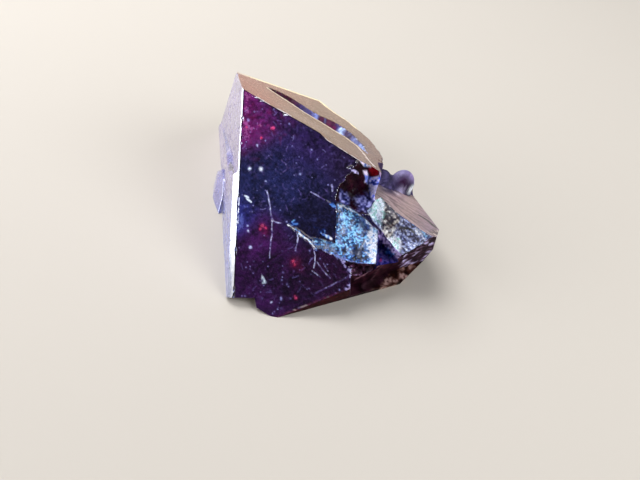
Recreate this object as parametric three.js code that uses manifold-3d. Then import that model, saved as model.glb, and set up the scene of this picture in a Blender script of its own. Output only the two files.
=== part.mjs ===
// A cuprite crystal: the upper part of one octahedron, broken across its middle and resting on the break.
// Four octahedron faces meet near its tip, its right side is broken in shell-shaped scoops and steps, and
// a triangular trench is sunk in its top face.  One natural solid, in millimetres, +Z up, with the origin
// in the middle of its underside.
//
// The faces are laid out in the crystal's own axes, with the origin at the tip of the front face:
// x runs across the front face, y down its left edge, and z inward, straight into the crystal.

import * as THREE from 'three';
import { ConvexGeometry } from 'three/addons/geometries/ConvexGeometry.js';
import { mergeVertices } from 'three/addons/utils/BufferGeometryUtils.js';
import Module from 'manifold-3d';

const wasm = await Module();
wasm.setup();

// ---- Driving dimensions ----

const tip = new THREE.Vector3(-4.1, 0.67, 7.86); // where the front, left and top faces meet
const frontRise = 46.2; // degrees that the front face looks above the horizon
const frontRoll = 6.05; // degrees that the front face is rolled in its own plane
const frontTurn = -10.74; // degrees that the whole crystal is turned about +Z

const block = [24, 28, 9]; // width, length and height of the rough block that the faces are cut from
const reach = 40; // side of the blocks that trim it, longer than the crystal everywhere
const middle = new THREE.Vector2(-0.1845, 0.6305); // middle of the underside, which becomes the origin

const topFace = 0.05; // distance of each face from the tip, along its outward normal
const leftFace = 0.358;
const leftFaceUpper = 0.155; // the left face's upper part is one growth layer lower
const ridgeFacet = 0.055; // narrow facet along the ridge between the front and left faces
const rightFace = 10.68;
const lowerFace = 10.89;
const lowerFaceSwing = 65.5; // degrees in the front face between x and the lower face's normal

const backNormal = [-0.188, -0.972, 0.138]; // outward normal of the back face
const backOut = 2.31;
const brokenCorner = [0.962, 0.252, -0.115]; // outward normal of the break at the right-hand corner
const brokenCornerOut = 11.57;

const ridgeStep = 4.14; // where down the left ridge its facet widens and the left face's layer starts
const stepSlope = 0.49; // the layer's edge climbs this much for each millimetre back across the left face

const terraceDepth = 1.2; // the right-hand terrace lies this far below the top face
const trenchDepth = 0.42; // the trench in the top face, at its far wall

// ---- Solids ----

function toSolid(geometry) {
  const bare = geometry.clone();
  bare.deleteAttribute('normal');
  bare.deleteAttribute('uv');
  const merged = mergeVertices(bare, 1e-5);
  return new wasm.Manifold(new wasm.Mesh({
    numProp: 3,
    vertProperties: Float32Array.from(merged.attributes.position.array),
    triVerts: Uint32Array.from(merged.index.array),
  }));
}

const degrees = THREE.MathUtils.degToRad;

// From the crystal's own axes to the pose it rests in.
const standing = new THREE.Matrix4()
  .makeTranslation(tip)
  .multiply(new THREE.Matrix4().makeRotationZ(degrees(frontTurn)))
  .multiply(new THREE.Matrix4().makeRotationX(degrees(-frontRise)))
  .multiply(new THREE.Matrix4().makeRotationY(degrees(-frontRoll)))
  .multiply(new THREE.Matrix4().makeBasis(
    new THREE.Vector3(1, 0, 0), new THREE.Vector3(0, 0, -1), new THREE.Vector3(0, 1, 0)));

// Cube axes of the crystal: the front face is (1 1 1) and its left edge runs along (0 -1 1).
const cubeAxes = [
  new THREE.Vector3(Math.sqrt(2 / 3), 0, -Math.sqrt(1 / 3)),
  new THREE.Vector3(-Math.sqrt(1 / 6), -Math.sqrt(1 / 2), -Math.sqrt(1 / 3)),
  new THREE.Vector3(-Math.sqrt(1 / 6), Math.sqrt(1 / 2), -Math.sqrt(1 / 3)),
];

function direction(...indices) {
  const sum = new THREE.Vector3();
  indices.forEach((index, axis) => sum.addScaledVector(cubeAxes[axis], index));
  return sum.normalize();
}

// A frame on a face: across and down lie in the face, and the third axis points into the crystal.
function faceFrame(normal, across) {
  const inward = normal.clone().negate();
  const side = across.clone().addScaledVector(normal, -across.dot(normal)).normalize();
  return new THREE.Matrix4().makeBasis(side, new THREE.Vector3().crossVectors(inward, side), inward);
}

const onFront = standing.clone().multiply(faceFrame(direction(1, 1, 1), new THREE.Vector3(1, 0, 0)));
const onTop = standing.clone().multiply(faceFrame(direction(1, 1, -1), new THREE.Vector3(0, 0, 1)));
const onGround = new THREE.Matrix4();

// Everything outside the plane that lies `distance` along its outward normal, from the tip in the crystal's
// axes unless another pose is given.
function outside(normal, distance, pose = standing) {
  const slab = new THREE.BoxGeometry(reach, reach, reach).translate(0, 0, distance + reach / 2);
  const turn = new THREE.Quaternion().setFromUnitVectors(new THREE.Vector3(0, 0, 1), normal);
  return toSolid(slab.applyQuaternion(turn).applyMatrix4(pose));
}

// The material missing above a face: a block over a grid, whose lower side is the depth function.
// Where the depth is negative the block ends above the face and takes nothing away.
function missing(placement, [u0, u1], [v0, v1], step, depth, above = 2) {
  const columns = Math.round((u1 - u0) / step);
  const rows = Math.round((v1 - v0) / step);
  const points = [];
  const triangles = [];
  const at = (layer, i, j) => (layer * (rows + 1) + j) * (columns + 1) + i;
  const quad = (a, b, c, d) => triangles.push(a, b, c, a, c, d);
  for (let layer = 0; layer < 2; layer += 1) {
    for (let j = 0; j <= rows; j += 1) {
      for (let i = 0; i <= columns; i += 1) {
        const u = u0 + i * step;
        const v = v0 + j * step;
        points.push(u, v, layer ? Math.max(depth(u, v), -above / 2) : -above);
      }
    }
  }
  for (let j = 0; j < rows; j += 1) {
    for (let i = 0; i < columns; i += 1) {
      quad(at(0, i, j), at(0, i, j + 1), at(0, i + 1, j + 1), at(0, i + 1, j));
      quad(at(1, i, j), at(1, i + 1, j), at(1, i + 1, j + 1), at(1, i, j + 1));
    }
  }
  for (let i = 0; i < columns; i += 1) {
    quad(at(0, i, 0), at(0, i + 1, 0), at(1, i + 1, 0), at(1, i, 0));
    quad(at(0, i + 1, rows), at(0, i, rows), at(1, i, rows), at(1, i + 1, rows));
  }
  for (let j = 0; j < rows; j += 1) {
    quad(at(0, 0, j + 1), at(0, 0, j), at(1, 0, j), at(1, 0, j + 1));
    quad(at(0, columns, j), at(0, columns, j + 1), at(1, columns, j + 1), at(1, columns, j));
  }
  const geometry = new THREE.BufferGeometry();
  geometry.setAttribute('position', new THREE.Float32BufferAttribute(points, 3));
  geometry.setIndex(triangles);
  return toSolid(geometry.applyMatrix4(placement));
}

// ---- The octahedron ----

function octahedron() {
  const [width, length, height] = block;
  let solid = toSolid(new THREE.BoxGeometry(width, length, height).translate(0, 0, height / 2));
  const swing = degrees(lowerFaceSwing);
  const lower = new THREE.Vector3(Math.cos(swing), Math.sin(swing), -Math.sqrt(1 / 8)).normalize();
  const faces = [
    [direction(1, 1, 1), 0],
    [direction(1, 1, -1), topFace],
    [direction(-1, 1, 1), leftFace],
    [new THREE.Vector3(...backNormal).normalize(), backOut],
    [direction(1, -1, -1), rightFace],
    [direction(0, 1, 1), ridgeFacet],
    [lower, lowerFace],
    [new THREE.Vector3(...brokenCorner).normalize(), brokenCornerOut],
  ];
  for (const [normal, distance] of faces) {
    solid = solid.subtract(outside(normal, distance));
  }
  return solid;
}

// ---- Breaks: how deep the material is missing under each face ----

const { smoothstep, lerp } = THREE.MathUtils;

// Height of a broken line of [place, height] points at `place`.
function along(points, place) {
  const next = points.findIndex(([at]) => at > place);
  if (next === 0) return points[0][1];
  if (next < 0) return points[points.length - 1][1];
  const [[from, low], [to, high]] = [points[next - 1], points[next]];
  return lerp(low, high, (place - from) / (to - from));
}

// The least of several slopes, with the folds between them rounded over `fold` millimetres.
function softMin(slopes, fold) {
  const least = Math.min(...slopes);
  return least - fold * Math.log(slopes.reduce((sum, slope) => sum + Math.exp((least - slope) / fold), 0));
}

// Ribs of a hackly break, as three crossing waves; a rib gives its wave's turns across and down.
const ribs = [[1, 0.4], [-0.3, 0.7], [0.8, 1.9]];

function hackle(u, v, spacing, height) {
  const turn = 2 * Math.PI / spacing;
  const [first, second, third] = ribs.map(([across, down]) => turn * (across * u + down * v));
  return height * (Math.sin(first) * Math.cos(second) + 0.5 * Math.sin(third));
}

// A break between sloping sides.  A side is a plane through [across, down, deep], with its slope across and
// its slope down.
function between(u, v, sides) {
  return sides.map(([[u0, v0, deep], [across, down]]) => deep + across * (u - u0) + down * (v - v0));
}

// A shell-shaped scoop: an oval cup whose rim starts in the face on one side and sinks towards the other.
function cup(u, v, { centre, radii, deep, sink = 0, round = 0.7, rim = 4 }) {
  const r2 = ((u - centre[0]) / radii[0]) ** 2 + ((v - centre[1]) / radii[1]) ** 2;
  const bottom = r2 < 1 ? deep * (1 - r2) ** round : rim * deep * (1 - r2);
  return bottom + sink * (u - centre[0] + radii[0]);
}

// Front face, across and down from the tip.
const bowl = { centre: [6.14, 4.91], radii: [1.07, 1.24], deep: 0.85, sink: 0.6 };

// The silvery scoop under the bowl: steep on its left, with a wall on its right that stands over the cleft.
const scoopSides = [
  [[5.06, 7, 0.14], [0.27, 0]],
  [[5.06, 7, 0], [3, 0]],
  [[7.2, 7, 0.32], [-0.8, 0]],
  [[7.22, 7, 0], [-9, 0]],
  [[5.45, 5.62, 0], [0, 1.6]],
  [[5.45, 5.62, 0], [-1.15, 1.6]],
  [[5.2, 8.56, 0.1], [0.22, -1.1]],
];

// Its tail: a shallow step that runs out to the left.
const tailSides = [
  [[3.7, 8, 0.24], [0, 0]],
  [[3.7, 8, 0], [0.9, 0]],
  [[5.4, 8, 0], [-3, 0]],
  [[3.8, 7.42, 0], [-0.3, 1.5]],
  [[3.9, 8.02, 0], [0.35, -1.1]],
];

// The broken right side: its upper edge runs along the terrace, its lower left edge over a deep cleft.
const rimStart = [7.32, 4.83];
const rimAngle = degrees(38.7);
const rimDepths = [[0, 1.62], [1.3, 0.5], [2.9, 0.16], [3.7, 0.32]];
const rimWidth = 1.1; // the break runs down from the rim to its floor over this distance
const rightFloor = [[7.2, 7, 1.05], [-0.18, 0]];
const shoulder = [[4.9, 7.24], [5.3, 7.16], [6.08, 6.66], [6.24, 6.56], [8.04, 8.2], [8.7, 9.2]];
const shoulderSlope = 9;

function rightSide(u, v) {
  const [du, dv] = [u - rimStart[0], v - rimStart[1]];
  const run = du * Math.cos(rimAngle) + dv * Math.sin(rimAngle);
  const below = dv * Math.cos(rimAngle) - du * Math.sin(rimAngle);
  const [floor] = between(u, v, [rightFloor]);
  const rough = lerp(along(rimDepths, run), floor + hackle(u, v, 0.9, 0.06), smoothstep(below, 0, rimWidth));
  return Math.min(rough, shoulderSlope * (u - along(shoulder, v)));
}

const cleftSides = [
  [[7.2, 6.9, 1.5], [0, 0]],
  [[7.2, 6.9, 0], [9, 0]],
  [[7.2, 6.9, 0], [9, 27]],
  [[7.2, 8.75, 0.35], [0.5, -2.4]],
];
const cleftLip = [0.9, 4]; // depth of the cleft's right wall under the shoulder, and its slope

function cleft(u, v) {
  const right = cleftLip[0] + cleftLip[1] * (along(shoulder, v) - u);
  return softMin([...between(u, v, cleftSides), right], 0.08);
}

// The lower right corner of the front face, crumbled away down to the recessed lower face.
const cornerLeft = [[8.6, 5.58], [8.95, 5.88], [9.6, 6.05], [9.9, 5.98]];
const cornerTop = 8.6;
const cornerDeep = 0.75;

function corner(u, v) {
  const floor = cornerDeep + hackle(u, v, 0.7, 0.05);
  return softMin([floor, 1.7 * (u - along(cornerLeft, v)), 4 * (v - cornerTop)], 0.06);
}

function frontBreak(u, v) {
  const scoop = softMin(between(u, v, scoopSides), 0.04);
  const tail = softMin(between(u, v, tailSides), 0.05);
  return Math.max(cup(u, v, bowl), scoop, tail, rightSide(u, v), cleft(u, v), corner(u, v));
}

// Top face, back from its front edge and along it.
const topEnd = [[1.5, 7.6], [2.9, 7.97], [3.8, 7.8], [5, 7.25], [5.8, 6.5], [8.1, 4.7], [9.5, 1.46]];
const riserRun = 0.8; // the top face steps down to the terrace over this distance
const terraceBack = [[8.7, 3.15], [9.45, 4.4], [10.4, 5.45]]; // the terrace ends at a rough remnant
const remnantDepth = 0.4;
const remnantRun = 1.3;
const remnantFall = 0.6; // slope of the remnant's back side
const knob = { centre: [5.15, 9.55], radii: [0.62, 0.6], top: 0.15, height: 1, flare: 5 };

function topBreak(back, run) {
  const end = along(topEnd, back);
  const past = back - along(terraceBack, run);
  const riser = terraceDepth * smoothstep(run, end, end + riserRun);
  const slope = lerp(terraceDepth, remnantDepth, smoothstep(past, 0, remnantRun));
  const rough = past > 0 ? hackle(back, run, 1.3, 0.06) : 0;
  const behind = remnantFall * Math.max(0, past - remnantRun) + rough;
  const r2 = ((back - knob.centre[0]) / knob.radii[0]) ** 2 + ((run - knob.centre[1]) / knob.radii[1]) ** 2;
  const lump = knob.top + knob.height * (r2 < 1 ? 1 - Math.sqrt(1 - r2) : 1 + knob.flare * (r2 - 1));
  return run < end ? -1 : Math.min(riser, slope + behind, lump);
}

// The trench, a three-sided pit whose floor slopes down from its near side to a steep far wall.  The corners
// of its rim are [back, along] on the top face; those of its bottom edge add their share of the depth.
const trenchRim = [[3.96, -0.1], [4.1, 6.6], [5.75, 5.4], [6.72, 4.1], [6.6, 3.5], [5.1, 0.6]];
const trenchBottom = [
  [4.15, 6.45, 0.09], [5.55, 5.2, 0.73], [6.42, 4.05, 1], [6.3, 3.55, 1], [4.95, 0.9, 0.45],
];
const trenchAbove = 0.5; // the cutter's rim stands this far over the face

function trench() {
  const corners = trenchRim.flatMap(([back, run]) => [[back, run, 0], [back, run, -trenchAbove]])
    .concat(trenchBottom.map(([back, run, share]) => [back, run, share * trenchDepth]));
  const pit = new ConvexGeometry(corners.map((corner) => new THREE.Vector3(...corner)));
  return toSolid(pit.translate(0, 0, -topFace).applyMatrix4(onTop));
}

// The back right side, broken off steeply; u runs along the break and v up it.
const backBreakTurn = degrees(-48.2);
const backBreakOut = 5.25; // distance of the break from the upright axis
const backScoops = [
  { centre: [-4.4, 1.2], radii: [2.2, 2.4], deep: 0.5 },
  { centre: [-0.6, 0.4], radii: [2.3, 2.2], deep: 0.7 },
  { centre: [3.2, 0.9], radii: [2, 1.7], deep: 0.45 },
];

function backBreak(u, v) {
  const scoops = backScoops.map((shape) => Math.max(0, cup(u, v, { ...shape, round: 1 })));
  return Math.max(...scoops) + hackle(u, v, 2.1, 0.07);
}

// The underside, flat between shallow scoops.
const baseScoops = [
  { centre: [-2.7, -3.4], radii: [1.9, 2.7], deep: 0.22 },
  { centre: [1.2, -2.4], radii: [2.9, 2.1], deep: 0.3 },
  { centre: [-1.9, 2.1], radii: [2.6, 3.1], deep: 0.26 },
];

function baseBreak(u, v) {
  return Math.max(...baseScoops.map((shape) => cup(u, v, { ...shape, round: 1, rim: 1 })));
}

// The crystal's lower left corner is chipped off; the outline is across and down the front face.
const chipOutline = [[-2, 10.84], [1.04, 10.72], [1.15, 11.22], [1.95, 11.64], [2.1, 13], [-2, 13]];
const chipReach = [-1, 2.2]; // from outside the front face to this depth under it

function lowerLeftChip() {
  const outline = new THREE.Shape(chipOutline.map(([x, y]) => new THREE.Vector2(x, y)));
  const depth = chipReach[1] - chipReach[0];
  const chip = new THREE.ExtrudeGeometry(outline, { depth, bevelEnabled: false });
  return toSolid(chip.translate(0, 0, chipReach[0]).applyMatrix4(standing));
}

// The left face's upper part lies one layer lower, above an edge that climbs towards the back.
function leftLayer() {
  const left = direction(-1, 1, 1);
  const acrossLeft = new THREE.Vector3(0, 0, 1).projectOnPlane(left).normalize();
  const edgeNormal = new THREE.Vector3(0, 1, 0).addScaledVector(acrossLeft, stepSlope);
  const edgeOut = ridgeStep / edgeNormal.length();
  const aboveEdge = outside(edgeNormal.normalize().negate(), -edgeOut);
  return outside(left, leftFaceUpper).intersect(aboveEdge);
}

// The right part of the lower face stands back, as two smooth strips over a ledge on the ground.
const recessStart = 5.93; // across the front face
const recessFace = 10.42; // distance of the recessed face from the tip
const ledgeHeight = 0.35;

function lowerRecess() {
  const right = new THREE.BoxGeometry(reach, reach, reach).translate(recessStart + reach / 2, 0, 0);
  const overLedge = new THREE.BoxGeometry(reach, reach, reach).translate(0, 0, ledgeHeight + reach / 2);
  return outside(direction(1, -1, 1), recessFace)
    .intersect(toSolid(right.applyMatrix4(standing)))
    .intersect(toSolid(overLedge));
}

// A lump that swells out from the foot of the left face; the last three corners are buried in the crystal.
const footCorners = [
  [-6.33, 3.6, 0], [-6.42, 2.2, 0], [-6.38, 1.15, 0], [-6.2, 0.5, 0], [-5.9, -0.35, 0],
  [-6.22, 2.4, 0.6], [-6.18, 1.25, 0.65], [-5.98, 0.5, 0.45],
  [-5.8, 2.3, 1.3], [-5.62, 1.1, 1.4], [-5.6, 0.3, 1],
  [-5, 3.4, 0], [-5, 0, 0], [-5, 1.5, 1],
];

function foot() {
  return toSolid(new ConvexGeometry(footCorners.map((corner) => new THREE.Vector3(...corner))));
}

// The ledge and the foot of the right side end at a break that leans out as it rises.
const ledgeEndNormal = [0.71, -0.63, -0.3];
const ledgeEndOut = 6.75; // distance of that break from the origin

function ledgeEnd() {
  return outside(new THREE.Vector3(...ledgeEndNormal).normalize(), ledgeEndOut, onGround);
}

const onBack = new THREE.Matrix4()
  .makeRotationZ(backBreakTurn)
  .multiply(new THREE.Matrix4().makeBasis(
    new THREE.Vector3(1, 0, 0), new THREE.Vector3(0, 0, 1), new THREE.Vector3(0, -1, 0)))
  .multiply(new THREE.Matrix4().makeTranslation(0, 0, -backBreakOut));

const crystal = octahedron()
  .add(foot())
  .subtract(leftLayer())
  .subtract(missing(onFront, [3.4, 11.4], [3.2, 10.8], 0.16, frontBreak))
  .subtract(missing(onTop, [-2.4, 11.4], [1.2, 13.2], 0.25, topBreak))
  .subtract(trench())
  .subtract(missing(onBack, [-9, 9], [-1, 8], 0.5, backBreak, 9))
  .subtract(missing(onGround, [-6, 5], [-6, 6], 0.5, baseBreak))
  .subtract(lowerLeftChip())
  .subtract(lowerRecess())
  .subtract(ledgeEnd());

// ---- The model ----

const cuprite = new THREE.MeshStandardMaterial({ color: 0x2c1026, roughness: 0.15, metalness: 0.1 });

function toMesh(solid, name, material) {
  const { vertProperties, triVerts } = solid.getMesh();
  const geometry = new THREE.BufferGeometry();
  geometry.setAttribute('position', new THREE.Float32BufferAttribute(vertProperties, 3));
  geometry.setIndex(Array.from(triVerts));
  geometry.translate(-middle.x, -middle.y, 0);
  geometry.computeVertexNormals();
  const mesh = new THREE.Mesh(geometry, material);
  mesh.name = name;
  return mesh;
}

const specimen = new THREE.Group();
specimen.name = 'specimen';
specimen.add(toMesh(crystal, 'cuprite_crystal', cuprite));

export default specimen;
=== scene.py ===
import itertools
import math

import bmesh
import bpy
import numpy as np
from mathutils import Matrix, Vector


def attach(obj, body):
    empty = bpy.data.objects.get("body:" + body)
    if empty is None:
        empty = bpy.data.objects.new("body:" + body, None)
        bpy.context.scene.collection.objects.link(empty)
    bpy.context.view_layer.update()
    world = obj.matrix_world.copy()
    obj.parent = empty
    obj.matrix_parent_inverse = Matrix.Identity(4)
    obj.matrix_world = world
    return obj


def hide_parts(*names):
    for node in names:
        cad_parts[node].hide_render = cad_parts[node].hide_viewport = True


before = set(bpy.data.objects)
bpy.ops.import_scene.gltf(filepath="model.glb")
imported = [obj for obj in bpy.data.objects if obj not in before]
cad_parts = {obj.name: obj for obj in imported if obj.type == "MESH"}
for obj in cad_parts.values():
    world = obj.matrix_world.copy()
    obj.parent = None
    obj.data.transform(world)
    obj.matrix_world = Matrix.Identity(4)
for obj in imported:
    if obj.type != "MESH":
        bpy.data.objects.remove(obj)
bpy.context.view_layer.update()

# A cuprite crystal: the upper part of one octahedron, broken across its middle.  Lengths are in millimetres
# until a mesh is finished.  The crystal's own axes have their origin at the tip of the front face: x runs
# across that face, y down its left edge, and z straight into the crystal.

MM = 0.001
TINY = 1e-6  # less than any real gap or turn

# ---- Driving dimensions ----

TIP = np.array([-4.1, 0.67, 7.86])  # where the front, left and top faces meet
MIDDLE = np.array([-0.1845, 0.6305, 0.0])  # middle of the underside, which becomes the origin
# Degrees: how far the front face looks up, how far it is rolled, and how far the crystal is turned about +Z.
FRONT_RISE, FRONT_ROLL, FRONT_TURN = 46.2, 6.05, -10.74
REACH = 30.0  # longer than the crystal everywhere

# Each face lies this far from the tip along its outward normal, which is given in the crystal's axes.
TOP_FACE, LEFT_FACE, LEFT_UPPER, RIDGE_FACET = 0.05, 0.358, 0.155, 0.055
BACK_NORMAL, BACK_OUT = (-0.188, -0.972, 0.138), 2.31
CORNER_NORMAL, CORNER_OUT = (0.962, 0.252, -0.115), 11.57
RIGHT_FACE, LOWER_FACE, RECESS_FACE = 10.68, 10.89, 10.42
LOWER_SWING = 65.5  # degrees in the front face between x and the lower face's normal
RECESS_START = 5.93  # where the recessed strip starts, across the front face
LEDGE_NORMAL, LEDGE_OUT, LEDGE_HEIGHT = (0.71, -0.63, -0.3), 6.75, 0.35  # from the origin, over the ground
TERRACE_DEPTH = 1.2  # the terrace lies this far under the tip, measured into the top face

FRONT_GRID, TOP_GRID, LEFT_GRID, BACK_GRID = 0.04, 0.075, 0.09, 0.16  # spacing of each side's surface points


# ---- Frames ----

def unit(vector):
    """The vector over its length."""
    vector = np.asarray(vector, float)
    return vector / np.linalg.norm(vector)


def turned(axis, degrees):
    """Rotation matrix about one of the ground axes."""
    return np.array(Matrix.Rotation(math.radians(degrees), 3, axis))


STANDING = turned("Z", FRONT_TURN) @ turned("X", -FRONT_RISE) @ turned("Y", -FRONT_ROLL)
STANDING = STANDING @ np.array([[1, 0, 0], [0, 0, 1], [0, -1, 0]], float)

# The cube axes of the crystal, one in each row; the front face looks along their sum.
CUBE_AXES = np.array([
    [math.sqrt(2 / 3), 0, -math.sqrt(1 / 3)],
    [-math.sqrt(1 / 6), -math.sqrt(1 / 2), -math.sqrt(1 / 3)],
    [-math.sqrt(1 / 6), math.sqrt(1 / 2), -math.sqrt(1 / 3)],
])


def direction(*indices):
    """Outward normal of the face with these indices: the sum of the cube axes times them, made unit."""
    return unit(np.array(indices) @ CUBE_AXES)


def face_frame(normal, across):
    """Rotation and origin of a face: across and down lie in the face, the third axis points inward."""
    side = unit(np.asarray(across) - normal * np.dot(normal, across))
    return STANDING @ np.stack([side, np.cross(-normal, side), -normal], axis=1), TIP


FRONT, TOP, LEFT = direction(1, 1, 1), direction(1, 1, -1), direction(-1, 1, 1)
ON_FRONT = (STANDING, TIP)
ON_TOP = face_frame(TOP, (0, 0, 1))
ON_LEFT = face_frame(LEFT, (0, 0, 1))  # back from the ridge, and up it: the foot has negative places
ON_RECESS = face_frame(direction(1, -1, 1), (0, 0, 1))
ON_GROUND = (np.eye(3), np.zeros(3))
BACK_TURN, BACK_BREAK_OUT = -48.2, 5.25
BACK_ROTATION = turned("Z", BACK_TURN) @ np.array([[1, 0, 0], [0, 0, -1], [0, 1, 0]], float)
ON_BACK = (BACK_ROTATION, BACK_ROTATION @ np.array([0, 0, -BACK_BREAK_OUT]))


def placed(points, frame_on):
    """Points from a face's frame to the ground frame: rotation times point, plus origin."""
    rotation, origin = frame_on
    return np.asarray(points) @ rotation.T + origin


def local(points, frame_on):
    """The way back: points of the ground frame in a face's frame."""
    rotation, origin = frame_on
    return (np.asarray(points) - origin) @ rotation


# ---- Heights, noise and marks ----

def along(points, place):
    """Height of a broken line of (place, height) points, straight between them."""
    places, heights = zip(*points)
    return np.interp(place, places, heights)


def soft_min(slopes, fold):
    """The least of several slopes, with round folds: -fold times the log of the sum of exp(-slope/fold)."""
    slopes = np.stack(np.broadcast_arrays(*slopes))
    least = slopes.min(axis=0)
    return least - fold * np.log(np.exp((least - slopes) / fold).sum(axis=0))


def smooth(value, low, high):
    """0 at low and beyond, 1 at high and beyond, and 3t² - 2t³ between; high may be the smaller."""
    t = np.clip((value - low) / (high - low), 0, 1)
    return t * t * (3 - 2 * t)


def lerp(low, high, share):
    """Straight mix of two values."""
    return low + (high - low) * share


RIBS = np.array([[1, 0.4], [-0.3, 0.7], [0.8, 1.9]])  # turns across and down of three crossing waves


def hackle(u, v, spacing, height):
    """Ribs of a hackly break: sine times cosine of two crossing waves, plus half of a third."""
    first, second, third = (2 * math.pi / spacing * (a * u + d * v) for a, d in RIBS)
    return height * (np.sin(first) * np.cos(second) + 0.5 * np.sin(third))


def lattice(u, v, spacing, seed, size=256):
    """Random values from 0 to 1 on a square lattice, blended with 3t² - 2t³ between its points."""
    values = np.random.default_rng(seed).random((size, size))
    x, y = np.asarray(u) / spacing, np.asarray(v) / spacing
    i, j = np.floor(x).astype(int), np.floor(y).astype(int)
    s, t = smooth(x - i, 0, 1), smooth(y - j, 0, 1)
    i0, j0, i1, j1 = i % size, j % size, (i + 1) % size, (j + 1) % size
    return lerp(lerp(values[i0, j0], values[i1, j0], s), lerp(values[i0, j1], values[i1, j1], s), t)


def rough(u, v, spacing, seed, octaves=3):
    """Rough noise about zero: lattice noise, plus half of it at half the spacing, and so on."""
    return sum(0.5 ** k * (lattice(u, v, spacing * 0.5 ** k, seed + k) - 0.5) for k in range(octaves))


def wander(u, v, reach, spacing, seed):
    """Places shifted by rough noise, so that an edge drawn there is uneven."""
    return u + reach * rough(u, v, spacing, seed, 2), v + reach * rough(u, v, spacing, seed + 9, 2)


def oval(u, v, centre, radii):
    """Squared distance from an oval's centre, which is 1 on the oval."""
    return ((u - centre[0]) / radii[0]) ** 2 + ((v - centre[1]) / radii[1]) ** 2


def cup(u, v, centre, radii, deep, power=0.7, rim=4.0):
    """A shell-shaped scoop: deep times (1 - r²) to a power inside its oval, and above the face outside it."""
    r2 = oval(u, v, centre, radii)
    return np.where(r2 < 1, deep * np.maximum(1 - r2, 0) ** power, rim * deep * (1 - r2))


def between(u, v, sides):
    """The planes of a break's sides: depth at a point, plus slope across and slope down from there."""
    return [deep + across * (u - u0) + down * (v - v0) for (u0, v0, deep), (across, down) in sides]


def pair(u, v):
    """Places in a face, as one array of pairs."""
    return np.stack([u, v], axis=-1)


def stroke(places, line, width):
    """A drawn line: 1 along a broken line of points, 0 from 0.75 of its width away."""
    line = np.array(line, float)
    away = np.full(places.shape[:-1], np.inf)
    for start, step in zip(line[:-1], np.diff(line, axis=0)):
        share = np.clip((places - start) @ step / (step @ step), 0, 1)
        away = np.minimum(away, np.linalg.norm(places - start - share[..., None] * step, axis=-1))
    return 1 - smooth(away, 0.3 * width, 0.75 * width)


def spot(places, centre, radius):
    """A soft round spot: exp(-(distance/radius)²)."""
    return np.exp(-((places - np.array(centre)) ** 2).sum(axis=-1) / radius ** 2)


def patch(places, corners, soft):
    """A convex patch with soft sides: 1 inside all of its edges, taken in turn."""
    u, v = np.moveaxis(places, -1, 0)
    corners = np.array(corners)
    middle = corners.mean(axis=0)
    inside = np.full(np.shape(u), np.inf)
    for (u0, v0), (u1, v1) in zip(corners, np.roll(corners, -1, axis=0)):
        across = unit((v1 - v0, u0 - u1))
        across = across * np.sign(np.dot(middle - (u0, v0), across))
        inside = np.minimum(inside, across[0] * (u - u0) + across[1] * (v - v0))
    return smooth(inside, -soft, soft)


def from_edge(u, v, frame_on, planes):
    """Distance in a face from its nearest edge: each plane's gap over the length of its slope in the face."""
    rotation, origin = frame_on
    gaps = []
    for normal, distance in planes:
        slope = normal @ rotation
        gaps.append((distance - normal @ origin - slope[0] * u - slope[1] * v) / np.hypot(slope[0], slope[1]))
    return np.minimum.reduce(gaps)


# ---- The crystal's planes, as (outward normal, distance from the origin) in the ground frame ----

def facing(normal, distance):
    """The plane of a face that lies `distance` from the tip along its outward normal."""
    outward = STANDING @ unit(normal)
    return outward, outward @ TIP + distance


def reversed_plane(plane):
    """The same plane, with its other side kept."""
    return -plane[0], -plane[1]


SWING = math.radians(LOWER_SWING)
TOP_PLANE, LEFT_PLANE = facing(TOP, TOP_FACE), facing(LEFT, LEFT_FACE)
RIDGE_PLANE, BACK_PLANE = facing(direction(0, 1, 1), RIDGE_FACET), facing(BACK_NORMAL, BACK_OUT)
RIGHT_PLANE = facing(direction(1, -1, -1), RIGHT_FACE)
LOWER_PLANE = facing((math.cos(SWING), math.sin(SWING), -math.sqrt(1 / 8)), LOWER_FACE)
RECESS_PLANE = facing(direction(1, -1, 1), RECESS_FACE)
CORNER_PLANE = facing(CORNER_NORMAL, CORNER_OUT)
LEDGE_PLANE = (unit(LEDGE_NORMAL), LEDGE_OUT)
GROUND = (np.array([0.0, 0.0, -1.0]), 0.0)
FAR = [(sign * axis, REACH) for axis in np.eye(3) for sign in (-1, 1)]


# ---- Breaks: how deep the material is missing under each face ----

# A break lies between its sides: planes through (across, down, depth), with their slopes across and down.
# Its fold is how widely the folds between them are rounded.
SKIN = 0.012  # the smooth faces' own relief is at most about this deep
BOWL_SIDES = [
    ((6.2, 4.8, 1.35), (0.1, 0)),
    ((5.1, 4.78, 0.05), (0.94, 0.75)),
    ((5.05, 5.2, 0.05), (1.1, 0)),
    ((5.64, 5.83, 0.05), (0.4, -1)),
    ((6.96, 5.72, 0.2), (-1, -1)),
    ((7.3, 4.6, 0.2), (-1.6, 0)),
    ((6.75, 3.5, 0.2), (-0.4, 1.6)),
]
SCOOP_SIDES = [
    ((5.06, 7, 0.14), (0.27, 0)),
    ((5.06, 7, 0), (3, 0)),
    ((7.2, 7, 0.32), (-0.8, 0)),
    ((7.22, 7, 0), (-9, 0)),
    ((5.45, 5.62, 0), (0, 1.6)),
    ((5.45, 5.62, 0), (-1.15, 1.6)),
    ((5.2, 8.42, 0), (0.4, -1.1)),
    ((6.3, 8.82, 0.05), (0, -1.1)),
]
TAIL_SIDES = [
    ((3.7, 8, 0.24), (0, 0)),
    ((3.7, 8, 0), (0.9, 0)),
    ((5.4, 8, 0), (-3, 0)),
    ((3.8, 7.42, 0), (-0.3, 1.5)),
    ((3.87, 7.85, 0), (0.42, -1)),
]
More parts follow.
